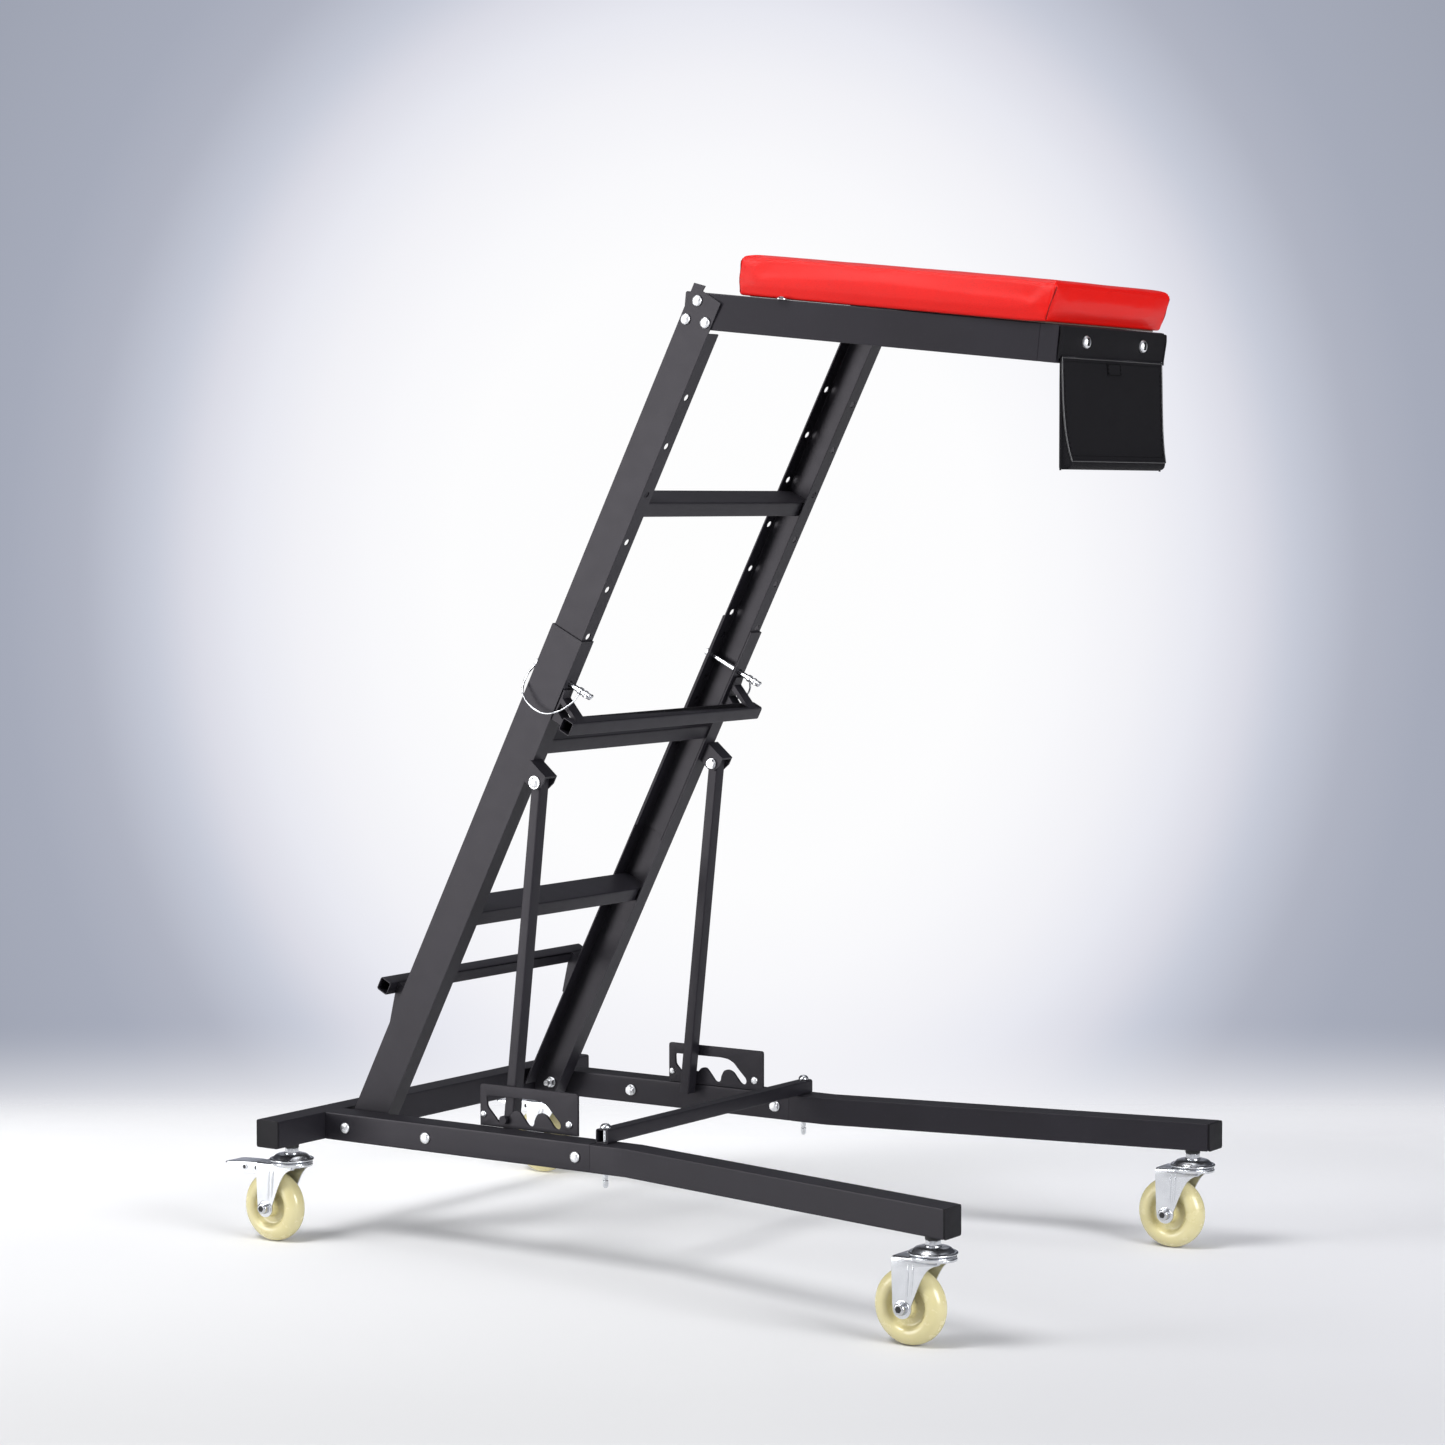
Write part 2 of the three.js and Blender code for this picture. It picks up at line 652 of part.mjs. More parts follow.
// Clevis brackets that carry the struts, on the front flanges of the lower rails.
const clevisX = lowerHalf + strutPivotOut;
const clevisHalf = strutWidth / 2 + 1;
const clevisWall = 2.5;
const clevisProfile = [
  [lowerHalf + gap, strutPivotAt - 6],
  [clevisX, strutPivotAt - 11],
  [clevisX + 8, strutPivotAt - 8],
  [clevisX + 13, strutPivotAt + 4],
  [clevisX + 13, strutPivotAt + 16],
  [lowerHalf + gap, strutPivotAt + 24],
];
const clevis = join([
  prismY(clevisProfile, -strutY - clevisHalf - clevisWall, -strutY - clevisHalf),
  prismY(clevisProfile, -strutY + clevisHalf, -strutY + clevisHalf + clevisWall),
  prismY([
    [lowerHalf + gap, strutPivotAt + 13],
    [clevisX + 13, strutPivotAt + 13],
    [clevisX + 13, strutPivotAt + 16],
    [lowerHalf + gap, strutPivotAt + 24],
  ], -strutY - clevisHalf - clevisWall, -strutY + clevisHalf + clevisWall),
]);
const clevisDrilled = cut(clevis, [rodY(clevisX, strutPivotAt, -ladderHalf - 30, 0, boltRadius + gap)]);
addPair('strut_bracket', onLadder(clevisDrilled), black);

const clevisOut = strutY + clevisHalf + clevisWall;
const strutBolt = join([
  nutY(clevisX, -clevisOut - gap - 5, strutPivotAt, 15, 5),
  rodY(clevisX, strutPivotAt, -clevisOut - gap - 1, -strutY + clevisHalf + clevisWall + 8, boltRadius),
  nutY(clevisX, -strutY + clevisHalf + clevisWall + gap, strutPivotAt, 14, 6),
]);
addPair('strut_bolt', onLadder(strutBolt), zinc);

// ---- struts, from the clevis pivots down to the rear notches --------------
const pivotWorld = new THREE.Vector3(clevisX, 0, strutPivotAt)
  .applyAxisAngle(new THREE.Vector3(0, 1, 0), lean * deg)
  .add(new THREE.Vector3(ladderPivotX, 0, beamZ));
const strutRun = pivotWorld.x - notchX;
const strutRise = pivotWorld.z - notchZ;
const strutLength = Math.hypot(strutRun, strutRise);
const strutLean = Math.atan2(strutRun, strutRise) / deg;
const strutEnd = 24;
const strutPinRadius = 4;
const strutLocal = cut(
  join([
    prismZ(rounded(strutDepth, strutWidth, 2, 2), -strutEnd, strutLength + 9)
      .subtract(prismZ(rounded(strutDepth - 3.2, strutWidth - 3.2, 0.8, 1), -strutEnd - 1, strutLength + 10))
      .translate([0, -strutY, 0]),
    rodY(0, 0, plateY0 - 3, -strutY + strutWidth / 2 - 0.5, strutPinRadius, 24),
    rodY(0, 0, plateY0 - 7, plateY0 - 1.5, 6, 20),
  ]),
  [rodY(0, strutLength, -strutY - 20, -strutY + 20, boltRadius + gap)],
);
const strut = strutLocal.rotate([0, strutLean, 0]).translate([notchX, 0, notchZ]);
addPair('strut', strut, black);

// ---- upper ladder --------------------------------------------------------
const holes = [];
for (let i = -6; i <= 2; i += 1) {
  holes.push(lockAt - i * holePitch);
}
holes.push(lockAt + holePitch / 2);
holes.push(lockAt - holePitch / 2);
holes.push(lockAt - 1.5 * holePitch);
const headWeb = prismY([
  [-upperHalf, upperFlangeEnd - 1],
  [upperHalf, upperFlangeEnd - 1],
  [upperHalf, upperTop - 6],
  [-8, upperTop - 4],
  [-7, upperTop + 4],
  [-upperHalf, upperTop],
].reverse(), -upperOuter, -upperOuter + channelWall);
const upperRail = cut(
  join([channel(upperHalf, upperOuter, upperFlange, upperStart, upperFlangeEnd), headWeb]),
  holes
    .filter((z) => z < upperFlangeEnd - 15)
    .map((z) => rodX(-pinY, z, -lowerHalf - 1, lowerHalf + 1, pinHole, 12)),
);
addPair('upper_rail', onLadder(upperRail), black);

const upperStepHalf = upperOuter - channelWall - gap;
const lipHalf = upperOuter - upperFlange - gap;
add('middle_step', onLadder(step(lipHalf, upperHalf, middleStepAt)), black);
add('top_step', onLadder(step(upperStepHalf, upperHalf - channelWall - stepInset, topStepAt)), black);

// Lock pins through both flanges of each rail pair, with a wire bail snapped round the rail.
const pinFront = lowerHalf + 39;
const pinRear = -lowerHalf - 9;
const bailEnds = [pinRear + 2, pinFront - 19];
const bailDrop = 50;
const bailOut = ladderHalf + 12;
const bailPoints = [];
for (let i = 0; i <= 12; i += 1) {
  const turn = (i / 12) * Math.PI;
  const reach = Math.sin(turn) ** 0.8;
  const along = (bailEnds[0] + bailEnds[1]) / 2 + ((bailEnds[1] - bailEnds[0]) / 2) * Math.cos(turn) * 1.06;
  const out = -pinY - (bailOut - pinY) * Math.min(1, 1.25 * reach);
  bailPoints.push(new THREE.Vector3(along, out, lockAt - bailDrop * reach));
}
bailPoints[0].x = bailEnds[1];
bailPoints[12].x = bailEnds[0];
const bailCurve = new THREE.CatmullRomCurve3(bailPoints);
const bailSection = shapeOf(rounded(2.8, 2.8, 0.9, 1));
const bail = solid(new THREE.ExtrudeGeometry(bailSection, {
  steps: 26,
  extrudePath: bailCurve,
  bevelEnabled: false,
}));
const lockPin = join([
  rodX(-pinY, lockAt, pinRear, pinFront, pinRadius, 16),
  rodX(-pinY, lockAt, pinFront - 12, pinFront, pinRadius + 1.4, 16),
  rodY(pinFront - 4, lockAt, -pinY - 8, -pinY + 8, 2.2, 8),
  bail,
]);
addPair('lock_pin', onLadder(lockPin), steel);

// ---- deck frame: X along the deck, Z square to it, origin over the heads of the upper rails ----
const deckRootAlong = upperTop - 12;
const deckRootDepth = -upperHalf + 1.6;
const deckRoot = new THREE.Vector3(deckRootDepth, 0, deckRootAlong)
  .applyAxisAngle(new THREE.Vector3(0, 1, 0), lean * deg)
  .add(new THREE.Vector3(ladderPivotX, 0, beamZ));
function onDeck(body) {
  return body.rotate([0, deckDroop, 0]).translate([deckRoot.x, 0, deckRoot.z]);
}

const deckRearHalf = upperOuter - channelWall - gap;
const deckFrontHalf = deckFrontWidth / 2;
const deckKnee = 40;
const frontBeamX0 = deckLength - deckTube;
const deckTaper = Math.atan((deckRearHalf - deckFrontHalf) / (deckLength - deckKnee));

function deckOutline(inset, x0, x1) {
  const slope = Math.tan(deckTaper);
  const width = deckTube - 2 * inset;
  const skew = width / Math.cos(deckTaper);
  const shift = inset / Math.cos(deckTaper);
  const outerAt = (x) => deckRearHalf - (x - deckKnee) * slope - shift;
  return [
    [x0, -(deckRearHalf - inset)],
    [deckKnee, -(deckRearHalf - inset)],
    [x1, -outerAt(x1)],
    [x1, -(outerAt(x1) - skew)],
    [deckKnee, -(deckRearHalf - inset - width)],
    [x0, -(deckRearHalf - inset - width)],
  ];
}

const deckRail = cut(cushionZ(deckOutline(0, -11, frontBeamX0 - gap), -deckHeight, 0, 2, 2), [
  prismZ(deckOutline(channelWall, -30, frontBeamX0 + 5), -deckHeight + channelWall, -channelWall),
]);
addPair('deck_rail', onDeck(deckRail), black);

const frontBeam = tubeY(-deckFrontHalf, deckFrontHalf, deckLength - deckTube / 2, -deckHeight / 2, deckTube,
  deckHeight, channelWall);
add('deck_front_beam', onDeck(frontBeam), black);

function padOutline(inset) {
  const x0 = padStart + inset;
  const x1 = padStart + padLength - inset;
  return [
    [x0, -padRearWidth / 2 + inset],
    [x1, -padFrontWidth / 2 + inset],
    [x1, padFrontWidth / 2 - inset],
    [x0, padRearWidth / 2 - inset],
  ];
}

// The same outline with its four corners turned at a radius.
function roundCorners(points, radius, steps) {
  const out = [];
  points.forEach(([x, y], i) => {
    const [ax, ay] = points[(i + points.length - 1) % points.length];
    const [bx, by] = points[(i + 1) % points.length];
    const a = new THREE.Vector2(ax - x, ay - y).normalize();
    const b = new THREE.Vector2(bx - x, by - y).normalize();
    for (let k = 0; k <= steps; k += 1) {
      const t = k / steps;
      const u = (1 - t) * (1 - t);
      const v = t * t;
      out.push([x + radius * (u * a.x + v * b.x), y + radius * (u * a.y + v * b.y)]);
    }
  });
  return out;
}
add('deck_board', onDeck(prismZ(padOutline(12), gap, gap + boardThickness)), board);
const padZ = boardThickness + 2 * gap;
const padEnd = padStart + padLength;
const padSide = prismY([
  [padStart - 5, padZ - 1],
  [padEnd - padUndercut, padZ - 1],
  [padEnd, padZ + padThickness - 6],
  [padEnd, padZ + padThickness + 5],
  [padStart - 5, padZ + padThickness + 5],
], -padRearWidth, padRearWidth);
const cushion = cushionZ(roundCorners(padOutline(0), padCorner, 4), padZ, padZ + padThickness, 9, 3);
add('pad', onDeck(cushion.intersect(padSide)), vinyl);

// ---- tool pouch, hanging from the front beam ------------------------------
const frontTop = new THREE.Vector3(deckLength, 0, 0)
  .applyAxisAngle(new THREE.Vector3(0, 1, 0), deckDroop * deg)
  .add(deckRoot);
const pouchX = frontTop.x + gap;
const pouchTop = frontTop.z - 2;
const pouchT = 2.5;
const pouchHalf = pouchWidth / 2;
const pouchBottom = pouchTop - pouchDrop;
const mouthZ = pouchBottom + pocketDrop;
const hangX = pouchX - deckHeight * Math.sin(deckDroop * deg) + 1; // the panel hangs plumb below the beam
const panel = prismY([
  [hangX, mouthZ - 3],
  [hangX + pouchT, mouthZ - 3],
  [hangX + pouchT, mouthZ],
  [pouchX + pouchT, pouchTop],
  [pouchX, pouchTop],
  [hangX, mouthZ],
], -pouchHalf, pouchHalf);
const pocketHalf = pouchHalf - 7;
const pocketX1 = hangX + pouchT + pocketDepth;
const pouch = join([
  panel,
  block(hangX, hangX + pouchT, -pocketHalf, pocketHalf, pouchBottom, mouthZ),
  block(hangX + 1, pocketX1, -pocketHalf, pocketHalf, pouchBottom, mouthZ)
    .subtract(block(hangX + pouchT, pocketX1 - pouchT, -pocketHalf + pouchT, pocketHalf - pouchT,
      pouchBottom + pouchT, mouthZ + 5)),
]);
add('tool_pouch', pouch, cloth);

// ---- origin at the centre of the footprint, on the floor ------------------
const box = new THREE.Box3().setFromObject(group);
for (const mesh of group.children) {
  mesh.geometry.translate(-(box.min.x + box.max.x) / 2, 0, 0);
}

export default group;
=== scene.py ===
import math

import bmesh
import bpy
from mathutils import Matrix, Vector, noise
from mathutils.bvhtree import BVHTree


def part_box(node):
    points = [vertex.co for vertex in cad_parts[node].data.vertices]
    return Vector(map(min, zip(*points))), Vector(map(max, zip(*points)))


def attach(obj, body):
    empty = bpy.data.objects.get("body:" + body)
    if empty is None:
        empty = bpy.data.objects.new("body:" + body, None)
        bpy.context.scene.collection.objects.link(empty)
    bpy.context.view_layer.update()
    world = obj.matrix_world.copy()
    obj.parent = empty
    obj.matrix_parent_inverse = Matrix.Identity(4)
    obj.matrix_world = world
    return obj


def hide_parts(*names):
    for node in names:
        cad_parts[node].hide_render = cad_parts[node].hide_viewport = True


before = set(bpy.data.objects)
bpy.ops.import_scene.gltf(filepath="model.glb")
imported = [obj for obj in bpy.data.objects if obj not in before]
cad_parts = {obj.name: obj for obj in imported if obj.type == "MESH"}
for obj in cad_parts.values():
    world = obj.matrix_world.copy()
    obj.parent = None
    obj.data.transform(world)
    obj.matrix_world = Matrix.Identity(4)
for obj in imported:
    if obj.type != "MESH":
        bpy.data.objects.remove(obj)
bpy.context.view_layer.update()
scene = bpy.context.scene
MM = 0.001
SIDES = {"near": -1, "far": 1}

# ---- places, in millimetres from the beam's front, the ladder's pivot and the deck's rear ----
FRONT_OF_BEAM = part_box("rear_beam")[1].x
PIVOT_X = 38
RAIL_MIDDLE = 164
RAIL_OUTER = 270
RAIL_INNER = 230
LADDER_HALF = 224
LEAN = math.radians(26.88)
DROOP = math.radians(6.07)
BASE = Matrix.Translation((FRONT_OF_BEAM, 0, 0)) @ Matrix.Scale(MM, 4)
PIVOT = (FRONT_OF_BEAM + PIVOT_X * MM, 0, RAIL_MIDDLE * MM)
LADDER = Matrix.Translation(PIVOT) @ Matrix.Rotation(LEAN, 4, "Y") @ Matrix.Scale(MM, 4)
DECK_REAR = LADDER @ Vector((-24, 0, 1305))
DECK = Matrix.Translation(DECK_REAR) @ Matrix.Rotation(DROOP, 4, "Y") @ Matrix.Scale(MM, 4)


# ---- outlines --------------------------------------------------------------
def rounded(points, radius, steps=3, closed=False):
    """The same run of 2-D points with its corners turned."""
    out = []
    count = len(points)
    for i, point in enumerate(points):
        corner = Vector(point)
        reach = radius[i] if isinstance(radius, (list, tuple)) else radius
        if reach == 0 or (not closed and i in (0, count - 1)):
            out.append(corner.to_tuple())
            continue
        before = Vector(points[i - 1]) - corner
        after = Vector(points[(i + 1) % count]) - corner
        reach = min(reach, before.length * 0.48, after.length * 0.48)
        start = corner + before.normalized() * reach
        end = corner + after.normalized() * reach
        for k in range(steps + 1):
            t = k / steps
            out.append(((1 - t) ** 2 * start + 2 * t * (1 - t) * corner + t * t * end).to_tuple())
    return out


def curve_points(a, b, c, d, steps):
    """Points of a cubic curve from a to d, both ends included."""
    a, b, c, d = map(Vector, (a, b, c, d))
    out = []
    for k in range(steps + 1):
        t = k / steps
        s = 1 - t
        out.append((s ** 3 * a + 3 * s * s * t * b + 3 * s * t * t * c + t ** 3 * d).to_tuple())
    return out


def arc(centre, radii, start, end, steps):
    """Points of an arc of an ellipse, its angles in degrees, both ends included."""
    angles = [math.radians(start + (end - start) * k / steps) for k in range(steps + 1)]
    return [(centre[0] + radii[0] * math.cos(a), centre[1] + radii[1] * math.sin(a)) for a in angles]


def dome(radius, low, high, power):
    """(radius, height) points of a domed head, from its rim to its middle."""
    angles = [math.radians(90 * k / 8) for k in range(8)]
    return [(radius * math.cos(a) ** power, low + (high - low) * math.sin(a)) for a in angles] + [(0, high)]


def shrink(outline, inset):
    """A closed outline moved inwards by inset, its points kept in number."""
    points = [Vector(p) for p in outline]
    area = sum(a.x * b.y - b.x * a.y for a, b in zip(points, points[1:] + points[:1]))
    turn = 1 if area > 0 else -1
    out = []
    for i, p in enumerate(points):
        before = p - points[i - 1]
        after = points[(i + 1) % len(points)] - p
        if before.length < 1e-6:
            before = after
        if after.length < 1e-6:
            after = before
        sides = [Vector((-step.y, step.x)).normalized() * turn for step in (before, after)]
        middle = sides[0] + sides[1]
        if middle.length < 1e-6:
            middle = sides[0]
        middle = middle.normalized()
        out.append((p + middle * (inset / max(0.35, middle.dot(sides[0])))).to_tuple())
    return out


def on_axis(axis, u, v, along):
    """A point from its two places across an axis and its place along it."""
    return {"X": (along, u, v), "Y": (u, along, v), "Z": (u, v, along)}[axis]


# ---- solids ----------------------------------------------------------------
class Build:
    """Closed bodies gathered in one mesh, in millimetres, placed by a matrix."""

    def __init__(self, place):
        self.bm = bmesh.new()
        self.place = place
        self.index = 0

    def rings(self, rings, closed=False, caps=True):
        """Skins a row of rings that have the same number of points."""
        rows = [[self.bm.verts.new(self.place @ Vector(p)) for p in ring] for ring in rings]
        faces = []
        pairs = list(zip(rows, rows[1:]))
        if closed:
            pairs.append((rows[-1], rows[0]))
        size = len(rows[0])
        for a, b in pairs:
            for i in range(size):
                j = (i + 1) % size
                faces.append(self.bm.faces.new((a[i], a[j], b[j], b[i])))
        if caps and not closed:
            faces.append(self.bm.faces.new(rows[0][::-1]))
            faces.append(self.bm.faces.new(rows[-1]))
        for face in faces:
            face.material_index = self.index
        bmesh.ops.recalc_face_normals(self.bm, faces=faces)
        return faces

    def strips(self, ring):
        """Closes a ring with quads laid across it, where one many-sided face would subdivide badly."""
        row = [self.bm.verts.new(self.place @ Vector(p)) for p in ring]
        count = len(row)
        for i in range(count // 2 - 1):
            face = self.bm.faces.new((row[i], row[i + 1], row[count - 2 - i], row[count - 1 - i]))
            face.material_index = self.index
        bmesh.ops.remove_doubles(self.bm, verts=self.bm.verts, dist=1e-6)
        bmesh.ops.recalc_face_normals(self.bm, faces=self.bm.faces)

    def turned(self, profile, centre=(0, 0, 0), axis="Z", sides=48, sign=1, closed=False):
        """A body of revolution from (radius, height) points. Sign -1 runs its heights against the axis."""
        start = Vector(centre)
        angles = [2 * math.pi * k / sides for k in range(sides)]
        self.rings([
            [start + Vector(on_axis(axis, r * math.cos(a), r * math.sin(a), h * sign)) for a in angles]
            for r, h in profile
        ], closed=closed)

    def disc(self, centre, axis, radius, height, sides=40, sign=1, edges=(0.4, 0.4), steps=2):
        """A washer, collar or round bar with its first and its last rim turned."""
        profile = rounded([(0, 0), (radius, 0), (radius, height), (0, height)], [0, *edges, 0], steps)
        self.turned(profile, centre, axis, sides, sign)

    def hexagon(self, centre, axis, across, height, sign=1):
        """A hexagon nut or head with turned-down corners."""
        start = Vector(centre)
        flat = across / 2
        sixth = math.pi / 3
        angles = [math.radians(15 * k) for k in range(24)]
        corners = [flat / math.cos((a + sixth / 2) % sixth - sixth / 2) for a in angles]
        rings = []
        for reach, h in ((corners, 0), (corners, height * 0.82), ([flat * 0.97] * 24, height)):
            spots = [(r * math.cos(a), r * math.sin(a)) for r, a in zip(reach, angles)]
            rings.append([start + Vector(on_axis(axis, u, v, h * sign)) for u, v in spots])
        self.rings(rings)

    def prism(self, outline, low, high, axis="Y", chamfer=0.0):
        """An outline with a thickness along the axis, its two faces' edges cut back by the chamfer."""
        rows = [(outline, low), (outline, high)]
        if chamfer:
            inner = shrink(outline, chamfer)
            rows = [(inner, low), (outline, low + chamfer), (outline, high - chamfer), (inner, high)]
        self.rings([[on_axis(axis, u, v, along) for u, v in line] for line, along in rows])

    def plate(self, outline, opening, low, high, chamfer):
        """A flat plate across Y with one opening, the edges of both cut back by the chamfer."""
        ends = ([], [])
        for loop, inset in ((outline, chamfer), (opening, -chamfer)):
            edge = shrink(loop, inset)
            rows = ((edge, low), (loop, low + chamfer), (loop, high - chamfer), (edge, high))
            faces = self.rings([[(u, along, v) for u, v in line] for line, along in rows], caps=False)
            for end, part in zip(ends, (faces[:len(loop)], faces[-len(loop):])):
                end.extend(side for face in part for side in face.edges if side.is_boundary)
        for end in ends:
            bmesh.ops.triangle_fill(self.bm, edges=end, use_beauty=True)
        bmesh.ops.recalc_face_normals(self.bm, faces=self.bm.faces)

    def swept(self, path, radius, sides=10):
        """A round bar along a path. radius is one number or one for each point."""
        points = [Vector(p) for p in path]
        angles = [2 * math.pi * k / sides for k in range(sides)]
        last = len(points) - 1
        normal = None
        rings = []
        for i, point in enumerate(points):
            along = (points[min(i + 1, last)] - points[max(i - 1, 0)]).normalized()
            if normal is None:
                normal = along.orthogonal()
            normal = (normal - along * normal.dot(along)).normalized()
            side = along.cross(normal)
            r = radius[i] if isinstance(radius, (list, tuple)) else radius
            rings.append([point + normal * (r * math.cos(a)) + side * (r * math.sin(a)) for a in angles])
        self.rings(rings)

    def mesh(self, name, materials, smooth=35, even=True):
        """One new object of all the bodies, smooth where the skin folds by less than so many degrees."""
        bmesh.ops.remove_doubles(self.bm, verts=self.bm.verts, dist=2e-6)
        bmesh.ops.dissolve_degenerate(self.bm, edges=self.bm.edges, dist=1e-6)
        data = bpy.data.meshes.new(name)
        self.bm.to_mesh(data)
        self.bm.free()
        for item in materials:
            data.materials.append(item)
        data.shade_smooth()
        data.set_sharp_from_angle(angle=math.radians(smooth))
        obj = bpy.data.objects.new(name, data)
        scene.collection.objects.link(obj)
        if even:
            even_normals(obj)
        return obj


def even_normals(obj):
    """Wide faces keep their own direction beside a narrow turned edge."""
    even = obj.modifiers.new("even", "WEIGHTED_NORMAL")
    even.keep_sharp = True
    even.weight = 90


def turned_edges(obj, width, angle):
    """Breaks the folds sharper than the angle by a width in millimetres."""
    bevel = obj.modifiers.new("edges", "BEVEL")
    bevel.width = width * MM
    bevel.segments = 2
    bevel.limit_method = "ANGLE"
    bevel.angle_limit = math.radians(angle)
    return bevel


def applied(obj):
    """The object's mesh becomes what its modifiers make of it."""
    graph = bpy.context.evaluated_depsgraph_get()
    data = bpy.data.meshes.new_from_object(obj.evaluated_get(graph))
    obj.modifiers.clear()
    obj.data = data


def settle(obj, body, slot, *replaced):
    """The calls that every new piece needs."""
    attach(obj, body)
    if replaced:
        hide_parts(*replaced)


# ---- materials -------------------------------------------------------------
def srgb(r, g, b):
    linear = [(c / 255) / 12.92 if c <= 10 else (((c / 255) + 0.055) / 1.055) ** 2.4 for c in (r, g, b)]
    return (*linear, 1.0)


class Nodes:
    """Adds shader nodes and links them in one call."""

    def __init__(self, tree):
        self.tree = tree
        tree.nodes.clear()

    def fill(self, node, inputs):
        """Each input takes a value, or a link from another node's output."""
        for key, value in inputs.items():
            if isinstance(value, bpy.types.NodeSocket):
                self.tree.links.new(value, node.inputs[key])
            else:
                node.inputs[key].default_value = value

    def add(self, kind, inputs=None, **settings):
        node = self.tree.nodes.new("ShaderNode" + kind)
        for key, value in settings.items():
            setattr(node, key, value)
        self.fill(node, inputs or {})
        return node

    def math(self, operation, *values):
        return self.add("Math", dict(enumerate(values)), operation=operation).outputs[0]

    def dot(self, a, b):
        return self.add("VectorMath", {0: a, 1: b}, operation="DOT_PRODUCT").outputs["Value"]

    def span(self, value, from_min, from_max, to_min, to_max, curve="LINEAR"):
        inputs = {0: value, 1: from_min, 2: from_max, 3: to_min, 4: to_max}
        return self.add("MapRange", inputs, interpolation_type=curve).outputs[0]

    def fade(self, value, start, end, low=0.0, high=1.0):
        """A soft step from low to high between two values."""
        return self.span(value, start, end, low, high, "SMOOTHSTEP")

    def mix(self, factor, a, b, blend="MIX"):
        return self.add("Mix", {0: factor, 6: a, 7: b}, data_type="RGBA", blend_type=blend).outputs[2]

    def ramp(self, value, stops):
        node = self.add("ValToRGB", {0: value})
        elements = node.color_ramp.elements
        while len(elements) > 1:
            elements.remove(elements[-1])
        for i, (at, colour) in enumerate(stops):
            element = elements[0] if i == 0 else elements.new(at)
            element.position = at
            element.color = colour if len(colour) == 4 else (*colour, 1)
        return node.outputs[0]


class Surface(Nodes):
    """A new material's nodes, with noise laid in the object's own place, in metres."""

    def __init__(self, name):
        self.material = bpy.data.materials.new(name)
        self.material.use_nodes = True
        super().__init__(self.material.node_tree)
        self.place = self.add("TexCoord").outputs["Object"]
        self.shader = self.add("BsdfPrincipled")
        self.output = self.add("OutputMaterial", {0: self.shader.outputs[0]})

    def noise(self, scale, detail, roughness):
        inputs = {"Vector": self.place, "Scale": scale, "Detail": detail, "Roughness": roughness}
        return self.add("TexNoise", inputs).outputs[0]

    def cloud(self, scale, detail, roughness, low=0.0, high=1.0):
        """Noise stretched to run from low to high."""
        return self.span(self.noise(scale, detail, roughness), 0.3, 0.7, low, high)

    def bump(self, strength, distance, height):
        return self.add("Bump", {"Strength": strength, "Distance": distance, "Height": height}).outputs[0]

    def finish(self, inputs):
        self.fill(self.shader, inputs)
        return self.material


def coated_steel(name, dark, light):
    """Powder coat over steel: orange peel with fine specks, its sheen dulled at grazing angles."""
    n = Surface(name)
    fine = n.noise(2100, 1.0, 0.5)
    rub = n.span(n.noise(130, 4.0, 0.75), 0.6, 0.8, 0.0, 0.22)
    worn = n.mix(rub, n.mix(n.cloud(9, 2.0, 0.5), dark, light), srgb(58, 57, 62))
    grazing = n.span(n.add("LayerWeight", {0: 0.5}).outputs["Facing"], 0.6, 0.95, 0.0, 0.4)
    height = n.math("ADD", n.noise(750, 2.0, 0.55), n.math("MULTIPLY", fine, 0.35))
    return n.finish({
        "Base Color": n.mix(n.span(fine, 0.6, 0.78, 0.0, 0.3), worn, srgb(52, 51, 56)),
        "Roughness": n.math("ADD", n.cloud(40, 2.0, 0.5, 0.42, 0.45), grazing),
        "Normal": n.bump(0.3, 0.0002, height),
        "Specular IOR Level": 0.3,
        "Specular Tint": (0.98, 0.93, 1.0, 1.0),
    })


def bright_metal(name, pale, dull, rough, clouding=45):
    """Plated steel: faint clouding, hair-fine scuffs, and a roughness that wanders a little."""
    n = Surface(name)
    return n.finish({
        "Base Color": n.mix(n.cloud(clouding, 3.0, 0.6), dull, pale),
        "Metallic": 1.0,
        "Roughness": n.cloud(160, 3.0, 0.6, *rough),
        "Normal": n.bump(0.1, 0.00005, n.noise(700, 2.0, 0.6)),
    })


def moulded(name, colour, shade, rough, depth=0.0001, grain=420, shine=0.5, more=None):
    """Moulded plastic, nylon or rubber."""
    n = Surface(name)
    return n.finish({
        "Base Color": n.mix(n.cloud(18, 3.0, 0.55), shade, colour),
        "Roughness": n.cloud(70, 3.0, 0.6, *rough),
        "Normal": n.bump(0.3, depth, n.noise(grain, 2.0, 0.5)),
        "Specular IOR Level": shine,
        **(more or {}),
    })


def vinyl(name, colour, shade, crease_shade):
    """Leather-grained vinyl over foam: small pebbles with creases between them, the creases darkened with
    painted shade.
    """
    n = Surface(name)
    pebbles = {"Vector": n.place, "Scale": 560.0, "Randomness": 0.9}
    crease = n.span(n.add("TexVoronoi", pebbles, feature="DISTANCE_TO_EDGE").outputs[0], 0.0, 0.16, 0.0, 1.0)
    wide = n.noise(260, 3.0, 0.6)
    tone = n.mix(n.span(n.noise(11, 3.0, 0.5), 0.35, 0.65, 0.0, 1.0), shade, colour)
    wear = n.math("ADD", wide, n.math("MULTIPLY", crease, -0.3))
    return n.finish({
        # Painted shade: the creases between the pebbles are darkened.
        "Base Color": n.mix(n.span(crease, 0.0, 1.0, 0.3, 0.0), tone, crease_shade),
        "Roughness": n.span(wear, 0.0, 0.6, 0.42, 0.33),
        "Normal": n.bump(0.4, 0.0002, n.math("ADD", crease, n.math("MULTIPLY", wide, 1.2))),
        "Specular IOR Level": 0.22,
    })


